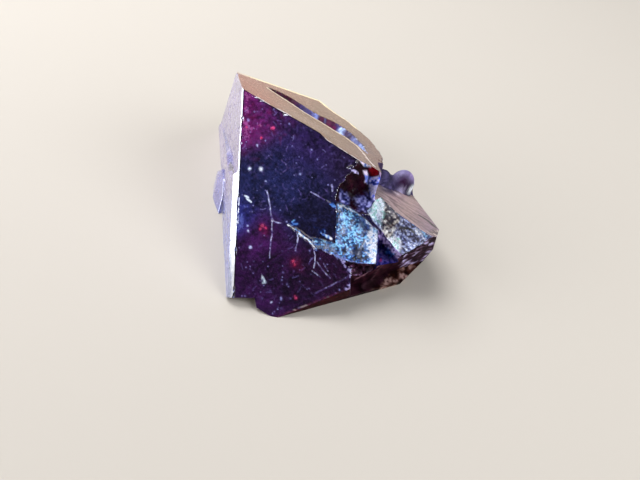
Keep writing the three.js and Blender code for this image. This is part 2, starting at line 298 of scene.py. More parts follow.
TAIL_TIP = [(2.56, 6.8), (3.1, 7.05), (3.75, 7.45), (4.2, 8.1), (3.7, 7.75), (3.1, 7.3)]  # where it thins out
RIM_START, RIM_ANGLE = (7.32, 4.83), math.radians(38.7)  # upper edge of the broken right side
RIM_WIDTH = 1.1  # the break runs down from the rim to its floor over this distance
RIM_DEPTHS = [(0, 1.62), (1.3, 0.5), (2.9, 0.16), (3.7, 0.32)]  # as (place along the rim, depth)
RIGHT_FLOOR = ((7.2, 7, 1.05), (-0.18, 0))
SHOULDER = [  # the right side's lower left edge, as (down, across)
    (4.9, 7.24), (5.17, 7.12), (5.6, 6.82), (5.95, 6.58), (6.51, 7), (6.97, 7.4), (7.53, 7.85), (7.98, 8.28),
    (8.7, 9.1),
]
SHOULDER_SLOPE = 9
CLEFT_SIDES = [
    ((7.2, 6.9, 1.5), (0, 0)),
    ((7.2, 6.9, 0), (9, 0)),
    ((7.2, 6.9, 0), (9, 27)),
    ((7.2, 8.75, 0.35), (0.5, -2.4)),
]
CLEFT_LIP = (0.75, 0.5, 4)  # its right wall: depth by the shoulder, slope of its bench, and slope below that
CLEFT_BENCH = 0.36  # width of the bench
CORNER_LEFT = [(8.6, 5.58), (8.95, 5.88), (9.6, 6.05), (9.9, 5.98)]  # left edge of the crumbled corner
CORNER_TOP, CORNER_DEEP = 8.6, 0.75
BOWL_FOLD, SCOOP_FOLD, TAIL_FOLD, CLEFT_FOLD, CORNER_FOLD = 0.12, 0.04, 0.05, 0.08, 0.06
EDGE_CHIPS = [  # (across, down, half width, half height, depth)
    (6.3, 3.5, 0.34, 0.17, 0.16), (0.55, 0.24, 0.3, 0.09, 0.05),
    (0.92, 0.44, 0.2, 0.07, 0.05), (2.2, 1.1, 0.24, 0.08, 0.06),
    (5.62, 3.75, 0.2, 0.12, 0.06),
]


def rim_place(u, v):
    """Distance along the broken right side's rim, and below it."""
    du, dv = u - RIM_START[0], v - RIM_START[1]
    cos, sin = math.cos(RIM_ANGLE), math.sin(RIM_ANGLE)
    return du * cos + dv * sin, dv * cos - du * sin


def bowl(u, v):
    """The rounded scoop under the top face, with an uneven rim and faint shell ripples."""
    x, y = wander(u, v, 0.16, 0.45, 11)
    ripples = 0.012 * np.sin(14 * np.hypot(u - 5.2, v - 4.0))
    return soft_min(between(x, y, BOWL_SIDES), BOWL_FOLD) + ripples + 0.05 * rough(u, v, 0.3, 15)


def scoop(u, v):
    """The silvery scoop: its sides, with fine pits and ripples."""
    x, y = wander(u, v, 0.1, 0.4, 21)
    return soft_min(between(x, y, SCOOP_SIDES), SCOOP_FOLD) + 0.05 * rough(u + 0.4 * v, v, 0.24, 25)


def tail(u, v):
    """The scoop's shallow tail, running out to the left."""
    x, y = wander(u, v, 0.1, 0.3, 31)
    return soft_min(between(x, y, TAIL_SIDES), TAIL_FOLD) + 0.04 * rough(u, v, 0.2, 35)


def right_side(u, v):
    """The broken right side: from the rim's depth to the floor's, with ledges that run along the rim."""
    run, below = rim_place(u, v)
    [floor] = between(u, v, [RIGHT_FLOOR])
    ledges = 0.1 * rough(run * 0.3, below, 0.26, 41) + 0.07 * rough(u, v, 0.3, 45)
    sides = lerp(along(RIM_DEPTHS, run), floor + hackle(u, v, 0.9, 0.05), smooth(below, 0, RIM_WIDTH))
    shoulder = along(SHOULDER, v) + 0.06 * rough(u, v, 0.3, 47)
    return np.minimum(sides + ledges * smooth(below, -0.1, 0.25), SHOULDER_SLOPE * (u - shoulder))


def cleft(u, v):
    """The deep cleft between the scoop's right wall and the shoulder."""
    past = along(SHOULDER, v) - u
    right = CLEFT_LIP[0] + CLEFT_LIP[1] * past + CLEFT_LIP[2] * np.maximum(past - CLEFT_BENCH, 0)
    return soft_min([*between(u, v, CLEFT_SIDES), right], CLEFT_FOLD) + 0.12 * rough(u, v, 0.4, 51)


def corner(u, v):
    """The lower right corner, crumbled away."""
    floor = CORNER_DEEP + hackle(u, v, 0.7, 0.06) + 0.3 * rough(u, v, 0.35, 61)
    x, y = wander(u, v, 0.2, 0.4, 65)
    return soft_min([floor, 1.7 * (x - along(CORNER_LEFT, y)), 4 * (y - CORNER_TOP)], CORNER_FOLD)


BREAKS = [bowl, scoop, tail, right_side, cleft, corner]
GLASSY_BREAKS = [BREAKS.index(part) for part in (bowl, cleft, corner)]

TOP_SWELL = [(0.5, 0), (1.5, 0.03), (2.4, 0.08), (3.4, 0.13), (4.5, 0.17), (5.0, 0.05), (8, 0.04)]
SWELL_END = 2.6  # the swell is gone this far behind the front edge
TOP_SPARE = 0.25  # the top face is first left this much too high, and its own relief cuts it down
SLANT = 1.06  # a height over the top face is this much longer along the front face


def upper_gap(u, v):
    """Distance in the front face from its upper edge, which is higher where the top face swells."""
    points = placed(np.stack(np.broadcast_arrays(u, v, 0.0), axis=-1), ON_FRONT)
    swell = along(TOP_SWELL, local(points, ON_TOP)[..., 1])
    return from_edge(u, v, ON_FRONT, [TOP_PLANE]) + SLANT * swell


def front_break(u, v):
    """The deepest of the front's breaks, over the polished face's own faint relief and chipped edges."""
    face = SKIN * (0.4 + 0.5 * rough(u, v, 1.4, 71, 2))
    face = face + 0.05 * patch(pair(*wander(u, v, 0.08, 0.2, 73)), TAIL_TIP, 0.04)
    for line, *_ in CRACKS:
        face = face + 0.015 * stroke(pair(u, v), line, 0.06)
    gap = np.minimum(upper_gap(u, v), from_edge(u, v, ON_FRONT, [RIDGE_PLANE, LOWER_PLANE]))
    worn = smooth(rough(u, v, 0.4, 75), 0.1, 0.45) * smooth(gap, 0.11, 0.0)
    chips = [cup(*wander(u, v, 0.1, 0.15, 79), (x, y), (a, b), deep) for x, y, a, b, deep in EDGE_CHIPS]
    deepest = np.maximum.reduce([part(u, v) for part in BREAKS] + chips)
    return np.maximum(deepest, np.maximum(face + 0.04 * worn, 0.002))


TOP_END = [  # where the top face steps down to the terrace, as (back, run)
    (0, 8.3), (0.6, 8.25), (1.37, 7.98), (2.38, 7.72), (3, 7.94), (4.13, 7.71), (5.18, 7.31), (5.95, 6.82),
    (6.9, 6.2), (8.1, 4.7), (9.5, 1.46),
]
RISER_RUN = 0.38  # it steps down over this distance
TERRACE_BACK = [(8.7, 3.15), (9.45, 4.4), (10.4, 5.45)]  # where the rough remnant starts, as (run, back)
REMNANT_DEPTH, REMNANT_RUN, REMNANT_FALL = 0.55, 1.3, 0.6  # its top, the way up to it, and its back's slope
KNOB_CENTRE, KNOB_RADII, KNOB_FLARE = (5.15, 9.4), (0.62, 0.75), 5  # a dome with its top level with the tip
TRENCH_NEAR = [  # its rim in the top face, as (run, back)
    (-0.1, 3.74), (0.7, 3.52), (1.5, 3.56), (2.5, 3.38), (3.6, 3.5), (4.7, 3.55), (5.35, 3.6), (6.3, 3.3),
    (6.8, 2.95),
]
TRENCH_FAR = [  # the upper edge of its far wall, as (run, back)
    (-0.1, 3.72), (0.33, 4.45), (1.07, 4.75), (2.04, 4.76), (3.12, 4.82),
    (3.7, 5.35), (4.4, 5.7), (5.27, 5.4), (6.3, 4.3), (6.8, 3),
]
TRENCH_LIP = 0.06  # depth at its near rim
TRENCH_SLOPE, TRENCH_WALL = 0.2, 1.5  # slopes of its floor and of its far wall


def top_height(back, run):
    """How far the top face lies above the tip: it swells a little along its front edge."""
    return TOP_FACE + along(TOP_SWELL, run) * smooth(back, SWELL_END, 0.2)


def trench(back, run):
    """The pit in the top face: its floor slopes down from the near side, to a steep far wall."""
    x, y = wander(back, run, 0.14, 0.5, 83)
    past = back - along(TRENCH_NEAR, run)
    floor = TRENCH_SLOPE * past + smooth(past, 0, 0.1) * (TRENCH_LIP + 0.05 * rough(back, run, 0.4, 87))
    return np.minimum(floor, TRENCH_WALL * (along(TRENCH_FAR, y) - x))


def top_break(back, run):
    """Depth missing under the top face: a step down to the terrace, a rough remnant behind, and a knob."""
    end = along(TOP_END, back) + 0.12 * rough(back, run, 0.7, 81) * smooth(back, 1.6, 2.4)
    past = back - along(TERRACE_BACK, run)
    riser = TERRACE_DEPTH * smooth(run, end, end + RISER_RUN)
    grooves = 0.012 * rough(back * 2.5 + run, run * 0.2, 0.5, 82)
    riser = riser + grooves * smooth(riser, TERRACE_DEPTH - 0.1, TERRACE_DEPTH)
    slope = lerp(TERRACE_DEPTH, REMNANT_DEPTH, smooth(past, 0, REMNANT_RUN))
    ripple = hackle(back, run, 1.3, 0.06) + 0.16 * rough(back, run, 0.6, 85)
    behind = REMNANT_FALL * np.maximum(0, past - REMNANT_RUN) + np.where(past > 0, ripple, 0)
    r2 = oval(back, run, KNOB_CENTRE, KNOB_RADII)
    knob = np.where(r2 < 1, 1 - np.sqrt(np.maximum(1 - r2, 0)), 1 + KNOB_FLARE * (r2 - 1))
    skin = SKIN * (0.4 + 0.4 * rough(back, run * 0.4, 0.9, 89, 2))
    face = np.maximum(skin, trench(back, run)) - top_height(back, run)
    return np.where(run < end, face, np.minimum.reduce([riser, slope + behind, knob]))


LAYER_EDGE = [  # the growth layer's edge on the left face, as (back, up)
    (-1, -4.2), (1.7, -4.18), (2, -4), (3.4, -3.35), (4.2, -2.5), (5.35, -2.05), (8.1, -0.67), (11, 0.4),
]


def left_skin(back, up):
    """Depth missing under the left face: one growth layer above a wavy edge, and faint relief."""
    over = up - along(LAYER_EDGE, back) - 0.1 * rough(back, up, 0.6, 97)
    layer = lerp(LEFT_FACE, LEFT_UPPER, np.maximum(smooth(over, -0.2, 0.08), 0.7 * smooth(back, 3.5, 7.5)))
    pits = 0.05 * smooth(lattice(back, up, 0.3, 98), 0.8, 0.95)
    return SKIN * (0.4 + 0.5 * rough(back, up, 0.8, 99, 2)) + pits - layer


BACK_SCOOPS = [
    dict(centre=(-4.4, 1.2), radii=(2.2, 2.4), deep=0.5),
    dict(centre=(-0.6, 0.4), radii=(2.3, 2.2), deep=0.7),
    dict(centre=(3.2, 0.9), radii=(2, 1.7), deep=0.45),
]
BASE_SCOOPS = [
    dict(centre=(-2.7, -3.4), radii=(1.9, 2.7), deep=0.22),
    dict(centre=(1.2, -2.4), radii=(2.9, 2.1), deep=0.3),
    dict(centre=(-1.9, 2.1), radii=(2.6, 3.1), deep=0.26),
]


def back_break(u, v):
    """The steep break of the back right side: three scoops, ribs and fine noise."""
    scoops = [np.maximum(0, cup(u, v, power=1, **shape)) for shape in BACK_SCOOPS]
    return np.maximum.reduce(scoops) + hackle(u, v, 2.1, 0.07) + 0.2 * rough(u, v, 0.9, 91)


def base_break(u, v):
    """The underside's shallow scoops, flat land between them."""
    scoops = np.maximum.reduce([cup(u, v, power=1, rim=1, **shape) for shape in BASE_SCOOPS])
    return scoops + 0.08 * rough(u, v, 0.7, 95) * smooth(scoops, 0, 0.1)


# ---- Colours ----

def linear(code):
    """An sRGB hex colour as linear red, green and blue."""
    values = np.array([int(code[i:i + 2], 16) for i in (1, 3, 5)]) / 255
    return np.where(values <= 0.04045, values / 12.92, ((values + 0.055) / 1.055) ** 2.4)


def ramp(value, stops):
    """Colours for noise values: straight mixes between the stops' hex colours."""
    places = [place for place, _ in stops]
    colours = np.array([linear(code) for _, code in stops])
    return np.stack([np.interp(value, places, colours[:, k]) for k in range(3)], axis=-1)


def paint(colours, mask, code):
    """The colours mixed towards one hex colour, or towards an array of colours, by the mask."""
    target = linear(code) if isinstance(code, str) else code
    return colours + (target - colours) * np.clip(mask, 0, 1)[..., None]


def marked(colours, u, v, marks, seed, uneven=0.05):
    """Paints marks in turn: (shape, place, size, strength, colour).  The colour may be stops for noise."""
    places = pair(*wander(u, v, uneven, 0.2, seed))
    speckle = 0.6 * lattice(u, v, 0.1, seed + 1) + 0.4 * lattice(u, v, 0.28, seed + 2)
    for shape, place, size, strength, code in marks:
        target = code if isinstance(code, str) else ramp(speckle, code)
        colours = paint(colours, strength * shape(places, place, size), target)
    return colours


# Pale lines painted where cracks throw light back:
PALE_CRACK = [(0.2, "#5c5480"), (0.5, "#9490b8"), (0.7, "#d8dcf6")]
FAINT_CRACK = [(0.2, "#3c3054"), (0.5, "#605480"), (0.75, "#8c84ac")]
# Painted silvery reflections and highlights of broken surfaces that catch the light:
SILVER = [(0.28, "#04081c"), (0.4, "#122858"), (0.52, "#204a88"), (0.62, "#3472bc"), (0.75, "#98e0ff")]
BRIGHT_SILVER = [(0.26, "#345c9c"), (0.4, "#b0dcff"), (0.5, "#ffffff")]
# painted pale highlight on flat parts of the broken right side
GREEN_WHITE = [(0.2, "#a0d4c0"), (0.38, "#dcfff0"), (0.52, "#ffffff")]
# painted purple-silver sheen of the broken right side
PURPLE_SILVER = [(0.3, "#1c1430"), (0.42, "#4c4c74"), (0.53, "#7c84ac"), (0.63, "#b0bce0"), (0.74, "#f8fcff")]
BROWN_SPECKLE = [(0.36, "#1c0a10"), (0.48, "#443034"), (0.56, "#7c6860"), (0.68, "#ece4d0")]
WINE = [(0.2, "#12060c"), (0.5, "#2a1420"), (0.72, "#543444"), (0.85, "#9a86a0")]
BOWL_DARK = [(0.2, "#120208"), (0.6, "#22050f"), (0.9, "#38101c")]
# painted blue-grey sheen on the bowl's shell surfaces
BLUE_GREY = [(0.25, "#141430"), (0.42, "#303864"), (0.58, "#646c9c"), (0.75, "#b4c0e8")]
# painted light on the cleft's bench, then painted shade in the cleft
BENCH = [(0.3, "#3c3458"), (0.5, "#7c7498"), (0.7, "#b4acd0")]
CLEFT_BLUE = [(0.25, "#0e0a30"), (0.5, "#22286c"), (0.75, "#6860a0")]

# Painted light: where the light inside a dark red crystal comes back, as wine, violet and blue depths painted
# by place on the face.
FRONT_DEPTHS = [  # (place, reach, colour)
    ((0.35, 1.5), 1, "#7c2160"),  # painted magenta glow by the tip, where the edge is thin
    ((1.5, 0.9), 0.9, "#4a2050"),
    ((2.3, 4.2), 1.9, "#1f2846"),  # blue-black middle
    ((3.4, 2.6), 1.1, "#34224c"),
    ((4.2, 6.3), 1.3, "#181830"),
    ((0.1, 6.6), 0.6, "#343e7c"),  # painted bluish sheen along the left edge
    ((1.25, 7.4), 0.8, "#45194a"),
    ((1.8, 10.2), 1.9, "#2e0f34"),  # wine-red foot, painted as light from inside
    ((4.2, 9.3), 1.3, "#280a26"),
    ((5.4, 3.4), 1.2, "#24182f"),
]
CRACKS = [  # (line, width, strength, colour); the pale and silvery lines are painted light thrown back by the cracks
    ([(1.4, 5.15), (1.53, 5.62), (1.63, 6.13), (1.68, 6.49), (1.79, 6.69)], 0.06, 0.8, PALE_CRACK),
    ([(1.74, 6.67), (1.95, 6.74), (2.21, 6.8)], 0.055, 0.7, PALE_CRACK),
    ([(1.74, 6.69), (1.76, 7.42), (1.7, 8.09), (1.71, 8.61)], 0.05, 0.65, PALE_CRACK),
    ([(3.66, 5.11), (4.16, 5.35), (4.69, 5.64)], 0.06, 0.9, PALE_CRACK),
    ([(4.5, 5.52), (4.69, 5.64), (5.09, 5.95)], 0.13, 1, SILVER),
    ([(4.85, 5.66), (5.12, 6.03)], 0.09, 1, SILVER),
    ([(2.58, 6.86), (3.22, 7.3), (3.65, 7.59), (3.92, 7.88), (4.09, 8.08)], 0.08, 1, BRIGHT_SILVER),
    ([(3.06, 7.05), (3.13, 7.51), (3.05, 8.03), (3.01, 8.19)], 0.05, 0.7, PALE_CRACK),
    ([(3.98, 8.04), (4.05, 8.34), (4.07, 8.7), (4.03, 9.01)], 0.05, 0.7, PALE_CRACK),
    ([(3.93, 9.17), (4.36, 9.46)], 0.045, 0.45, PALE_CRACK),
    ([(4.17, 8.7), (4.45, 9.09), (4.88, 9.48)], 0.045, 0.5, PALE_CRACK),
    ([(4.5, 8.75), (4.75, 9.15)], 0.05, 0.5, PALE_CRACK),
    ([(4.19, 10.29), (4.8, 9.95), (5.4, 9.61), (5.79, 9.38)], 0.06, 0.7, FAINT_CRACK),
    ([(2.19, 4.14), (2.59, 3.86)], 0.05, 0.7, FAINT_CRACK),
    ([(2.05, 3.52), (2.32, 3.72), (2.4, 3.9)], 0.05, 0.6, FAINT_CRACK),
]
FRONT_MARKS = [
    (patch, [(3.7, 5.16), (5.1, 5.98), (5.12, 7.6), (3.95, 7.86), (2.62, 6.86), (3.1, 6.5)], 0.3, 0.8,
     [(0.2, "#0a0814"), (0.6, "#181a34"), (0.8, "#303858")]),  # the thin flake over the tail
    # painted silvery reflection at the tail's thin end
    (patch, TAIL_TIP, 0.04, 0.9, SILVER),
    (patch, [(2.58, 6.81), (2.93, 6.54), (3.09, 6.69), (3.1, 6.94), (2.79, 6.91)], 0.05, 0.85, SILVER),
    (patch, [(1.32, 9.35), (1.46, 9.6), (1.68, 9.8), (1.53, 9.96), (1.38, 9.97)], 0.04, 0.9,
     [(0.2, "#3a3c50"), (0.5, "#8fa0a4"), (0.8, "#d0dcd8")]),
    # painted silvery reflection and bright highlight beside the tail
    (spot, (4.38, 7.15), 0.13, 1, SILVER),
    (stroke, [(4.41, 7.28), (4.67, 7.37), (4.83, 7.46)], 0.14, 1, BRIGHT_SILVER),
    (stroke, [(3.96, 6.94), (4.3, 7.06)], 0.08, 0.6, SILVER),
    (stroke, [(1.03, 9.21), (2.29, 8.32)], 0.07, 0.75, "#10050c"),
    # painted white highlights
    (stroke, [(0.27, 5.47), (0.43, 5.53)], 0.08, 1, "#e4eeff"),
    (stroke, [(0.36, 5.56), (0.48, 5.68), (0.58, 5.76)], 0.1, 1, "#e4eeff"),
    (stroke, [(4.75, 4.71), (4.79, 5.01)], 0.09, 0.9, PALE_CRACK),
    # painted red glows: light from inside that comes back
    (spot, (1.58, 1.86), 0.06, 1.3, "#ff3a7c"), (spot, (1.48, 1.9), 0.05, 1.1, "#e82a6c"),
    (spot, (0.95, 2.41), 0.055, 1.3, "#ff2a60"), (spot, (0.19, 1.87), 0.045, 1, "#e03070"),
    (spot, (1.25, 6.98), 0.12, 0.8, "#b01c50"), (spot, (1.42, 7.08), 0.06, 1, "#e82868"),
    (spot, (1.15, 7.15), 0.07, 0.9, "#c42258"), (spot, (1.4, 7.3), 0.2, 0.45, "#801c48"),
    (spot, (2.95, 8.72), 0.09, 1, "#d81c50"), (spot, (3.04, 8.9), 0.07, 0.9, "#c01848"),
    (spot, (3.05, 8.8), 0.25, 0.5, "#801840"), (spot, (3.4, 9.1), 0.16, 0.4, "#6c1438"),
    (spot, (3.18, 10.6), 0.07, 1, "#c02058"), (spot, (3.1, 10.5), 0.05, 0.8, "#a01c4c"),
    # painted pale glints
    (spot, (0.43, 4.02), 0.07, 1.3, "#e4f0ff"), (spot, (1.03, 4.03), 0.085, 1.3, "#f0f8ff"),
    (spot, (0.76, 2.79), 0.05, 1.1, "#c8c8f0"), (spot, (0.68, 8.09), 0.07, 1.2, "#d4ddff"),
    (spot, (0.5, 7.01), 0.045, 1, "#c4ccf4"), (spot, (0.51, 7.27), 0.05, 1.1, "#dfe6ff"),
    (spot, (1.32, 4.64), 0.05, 0.9, "#b4bce0"), (spot, (1.9, 10.9), 0.05, 1, "#dfe6ff"),
    (spot, (3.08, 4.2), 0.06, 0.9, "#a8b0dc"), (spot, (0.25, 1.5), 0.06, 0.8, "#b0a0e0"),
    # painted white highlight by the bowl's upper rim
    (patch, [(6, 3.4), (6.18, 3.36), (6.5, 3.5), (6.6, 3.7), (6.35, 3.77), (6.08, 3.57)], 0.04, 1,
     BRIGHT_SILVER),
    # the crumbled edge beside the recess
    (stroke, [(5.39, 8.38), (5.65, 8.62), (5.87, 8.92), (6.04, 9.3), (6, 9.84), (5.82, 10.05)], 0.34, 0.8,
     [(0.4, "#1c1430"), (0.5, "#4c446c"), (0.6, "#a8a0c8")]),
]
GLINT_START = 0.22  # a spot of the front face lighter than this throws light back instead of letting it in
SPECKS = 420  # tiny pits and grains of dust on the front face, painted pale: dust, and painted glints of the pits
SCRATCHES = 90


def step(length, angle):
    """A step of this length in a face, at this angle from the first axis."""
    return length * np.array([math.cos(angle), math.sin(angle)])


def dusted(colours, places):
    """Short bent scratches and tiny specks all over the front face, more of them towards its tip; the specks
    are dust and painted glints.
    """
    random = np.random.default_rng(7)
    for _ in range(SCRATCHES):
        start = np.array([random.uniform(0, 7), 11 * random.random() ** 1.2])
        bend, angle = random.uniform(-0.7, 0.7), random.uniform(0, math.pi)
        middle = start + step(random.uniform(0.08, 0.2), angle)
        end = middle + step(random.uniform(0.08, 0.2), angle + bend)
        strength = random.uniform(0.1, 0.4)
        colours = paint(colours, strength * stroke(places, [start, middle, end], 0.045), "#8c84b8")
    for _ in range(SPECKS):
        centre = random.uniform(0, 8.2), 12 * random.random() ** 1.15
        radius, strength = 0.026 + 0.03 * random.random() ** 3, 0.2 + 0.75 * random.random() ** 3
        colours = paint(colours, strength * spot(places, centre, radius), "#9c9ed0")
    return colours


def front_colours(points):
    """Colour of the front face: its depths and painted glows weighted by nearness, then mottling, a painted
    crimson glow, dust, specks and marks, among them painted highlights.
    """
    u, v, _ = local(points, ON_FRONT).T
    places = pair(u, v)
    weights = np.stack([spot(places, centre, reach) + 1e-4 for centre, reach, _ in FRONT_DEPTHS])
    depths = np.array([linear(code) for *_, code in FRONT_DEPTHS])
    colours = np.tensordot(weights, depths, axes=(0, 0)) / weights.sum(axis=0)[..., None]
    mottle = 1 + 0.9 * rough(u, v, 0.9, 101) + 0.9 * rough(u, v, 0.15, 105)
    colours = colours * np.clip(mottle, 0.3, 2.6)[..., None]
    # painted crimson glow: speckled red light from inside, towards the tip
    crimson = smooth(lattice(u, v, 0.22, 107), 0.62, 0.9) * spot(places, (0.7, 1.7), 1.3)
    colours = paint(colours, 0.6 * crimson, "#8c1c50")
    haze = smooth(lattice(u, v, 0.1, 111), 0.6, 0.95) * (0.04 + 0.1 * smooth(v, 8, 4))
    colours = paint(colours, haze, "#8078ac")
    colours = dusted(colours, places)
    colours = marked(colours, u, v, FRONT_MARKS, 131)
    colours = marked(colours, u, v, [(stroke, *crack) for crack in CRACKS], 135, 0.03)
    foot = smooth(from_edge(u, v, ON_FRONT, [LOWER_PLANE]), 0.14, 0.02)
    colours = paint(colours, 0.6 * foot * lattice(u, v, 0.15, 141), "#8a4450")
    gap = np.minimum(upper_gap(u, v), from_edge(u, v, ON_FRONT, [RIDGE_PLANE]))
    worn = smooth(gap, 0.08, 0.03) * smooth(lattice(u, v, 0.3, 143), 0.15, 0.4)
    return paint(colours, 0.8 * worn, "#08030c")


BREAK_MARKS = [
    # the broken right side: painted pale highlights, silvery reflection and white glints, with its own brown
    # speckle and dark lines
    (patch, [(7.35, 4.85), (7.75, 5.2), (7.6, 6.1), (7.6, 6.9), (7.2, 6.5), (6.7, 6.2), (7, 5.4)], 0.07,
     1, GREEN_WHITE),
    (patch, [(7.55, 5.1), (8.1, 5.6), (8.35, 6.3), (7.95, 7.2), (7.55, 7.4), (7.4, 6.7)], 0.12, 0.95,
     BROWN_SPECKLE),
    (patch, [(7.74, 7.22), (8.36, 7.2), (8.53, 7.56), (8.42, 8), (8.1, 7.93), (7.76, 7.62)], 0.07, 1,
     GREEN_WHITE),
    (stroke, [(7.95, 5.45), (8.5, 5.95), (9.15, 6.5), (9.75, 7.1)], 0.26, 0.7, SILVER),
    (stroke, [(7.39, 5.1), (7.8, 5.45), (8.3, 5.88)], 0.12, 0.8, "#241018"),
    (stroke, [(8.4, 6.72), (8.75, 6.72), (9.05, 6.95)], 0.13, 0.95, "#10080f"),
    (stroke, [(8.41, 8.1), (9.03, 8.07), (9.63, 7.68), (9.98, 7.36)], 0.2, 0.75, "#2a1026"),
    (stroke, [(7.16, 6.8), (7.76, 7.7), (8.25, 8.29)], 0.16, 0.8, "#8c84b4"),
    (spot, (9.78, 7.45), 0.07, 1.2, "#ffffff"), (spot, (8.57, 6.11), 0.08, 1, "#e8f0ff"),
]
# Marks of the silvery scoop: its bright patches and strokes are painted highlights.
SCOOP_MARKS = [
    (patch, [(6.3, 6.15), (6.9, 6.5), (7.15, 6.85), (6.9, 7.15), (6.5, 7), (6.2, 6.6)], 0.12, 0.85,
     [(0.35, "#1c1c44"), (0.5, "#34407c"), (0.65, "#5c70ac")]),
    (patch, [(6.8, 6.8), (7.16, 6.85), (7.25, 8.62), (6.95, 8.6), (6.5, 7.75)], 0.08, 1, BRIGHT_SILVER),
    (patch, [(5.35, 6.7), (5.6, 6.8), (5.6, 7.25), (5.3, 7.2)], 0.12, 0.25, BRIGHT_SILVER),
    (patch, [(3.7, 7.7), (4.4, 7.65), (5.1, 7.75), (5.1, 8.2), (4.5, 8.05)], 0.1, 0.2, BRIGHT_SILVER),
    (stroke, [(5.1, 5.75), (5.83, 5.92), (6.36, 6.22), (6.9, 6.7)], 0.1, 0.8, BRIGHT_SILVER),
    (patch, [(6, 8), (6.4, 7.95), (6.55, 8.1), (6.4, 8.35), (6.1, 8.3)], 0.07, 0.85, "#141c44"),
    (stroke, [(4.4, 8.15), (5.2, 8.4), (6.2, 8.7), (7, 8.7)], 0.16, 0.55, "#8488c0"),
]
# Marks of the bowl: painted blue-grey sheen, a painted bright wall where it catches light, painted white
# highlights, and a painted red glow of light from inside.
BOWL_MARKS = [
    (patch, [(5.09, 4.82), (5.5, 4.98), (5.71, 5.29), (5.7, 5.74), (5.26, 5.62)], 0.1, 0.9, BLUE_GREY),
    (patch, [(6, 5.25), (6.5, 4.95), (7.2, 4.95), (7.17, 5.26), (6.88, 5.68), (6.53, 6), (6.17, 5.9)],
     0.22, 0.8, BLUE_GREY),
    (patch, [(6.65, 4.1), (7.3, 4.1), (7.36, 4.85), (7, 5.4), (6.72, 5)], 0.08, 1,
     [(0.25, "#2c3c90"), (0.42, "#7c9cff"), (0.56, "#e0e8ff")]),
    (patch, [(6.36, 3.87), (6.56, 3.87), (6.58, 4.4), (6.42, 4.38)], 0.05, 1.2,
     [(0.3, "#8cacf0"), (0.5, "#ffffff")]),
    (patch, [(6.6, 3.55), (7.1, 3.55), (7.16, 4), (6.75, 4)], 0.09, 0.95, "#900c18"),
    (patch, [(6.1, 3.38), (6.4, 3.42), (6.72, 3.5), (6.66, 3.68), (6.34, 3.68)], 0.05, 1, BRIGHT_SILVER),
    (stroke, [(5.58, 3.9), (5.73, 3.84), (6, 3.98)], 0.12, 0.9, [(0.4, "#3c1c30"), (0.55, "#e0e4ff")]),
    (stroke, [(7.1, 3.5), (7.25, 3.8), (7.3, 4.1)], 0.12, 0.85, "#c8b0c0"),
]
# painted silvery reflection, and a painted red glow of light from inside
CLEFT_MARKS = [
    (patch, [(7.68, 7.8), (7.9, 7.85), (8.2, 8.1), (7.95, 8.35), (7.72, 8.2)], 0.06, 0.9, SILVER),
    (spot, (7.47, 8.45), 0.07, 1, "#c83060"),
]


def break_colours(points):
    """Colour of the broken surfaces: wine-red all over, then each break's own mottled shades by place, with
    painted silvery sheen, highlights and glints.
    """
    u, v, deep = local(points, ON_FRONT).T
    fine, middle = lattice(u, v, 0.065, 201), lattice(u + 0.3 * v, v, 0.2, 205)
    grain = 0.65 * fine + 0.35 * middle
    colours = ramp(grain, WINE)
    place, below = rim_place(u, v)
    side = smooth(below, -0.2, 0.05) * smooth(place, -0.4, 0) * smooth(deep, 0.05, 0.15)
    side = side * (1 - smooth(deep, 1.9, 2.3)) * smooth(u - along(SHOULDER, v), -0.15, 0.1)
    streaks = 0.45 * lattice(place * 0.4, below, 0.12, 221) + 0.55 * fine
    # painted purple-silver sheen of the right side, darker further below its rim
    mottled = ramp(streaks - 0.1 * smooth(below, 1.2, 2.4), PURPLE_SILVER)
    colours = paint(colours, side, marked(mottled, u, v, BREAK_MARKS, 231, 0.14))
    scooped = soft_min(between(u, v, SCOOP_SIDES), SCOOP_FOLD)
    scooped = np.maximum(scooped, soft_min(between(u, v, TAIL_SIDES), TAIL_FOLD))
    # painted silvery reflection over the scoop and its tail
    silver = smooth(scooped, -0.06, 0.05) * smooth(1.15 - deep, 0, 0.1) * (1 - smooth(u, 7.25, 7.32))
    level = grain + 0.3 * (lattice(u, v, 0.8, 235) - 0.5)
    return paint(colours, silver, marked(ramp(level, SILVER), u, v, SCOOP_MARKS, 241, 0.12))


def dark_break_colours(points):
    """Colour of the glassy dark breaks: the bowl, the cleft and the crumbled corner, with painted sheen,
    highlights, glow and shade.
    """
    u, v, _ = local(points, ON_FRONT).T
    fine, middle = lattice(u, v, 0.09, 251), lattice(u, v, 0.3, 255)
    colours = ramp(0.6 * fine + 0.4 * middle, WINE)
    in_bowl = smooth(soft_min(between(u, v, BOWL_SIDES), BOWL_FOLD), -0.15, 0.0)
    bowl_shades = ramp(0.7 * middle + 0.3 * fine, BOWL_DARK)
    colours = paint(colours, in_bowl, marked(bowl_shades, u, v, BOWL_MARKS, 261, 0.12))
    # the cleft: painted shade in its depth, painted light on its bench
    in_cleft = smooth(u, 7.1, 7.22) * smooth(v, 6.3, 6.6) * smooth(u, 8.6, 8.4)
    bench = smooth(along(SHOULDER, v) - u, CLEFT_BENCH + 0.08, CLEFT_BENCH - 0.05)
    cleft_shades = paint(ramp(0.5 * fine + 0.5 * middle, CLEFT_BLUE), bench, ramp(fine, BENCH))
    return paint(colours, in_cleft, marked(cleft_shades, u, v, CLEFT_MARKS, 265, 0.1))


REMNANT = [(0.2, "#141022"), (0.5, "#2c2640"), (0.85, "#544c6c")]
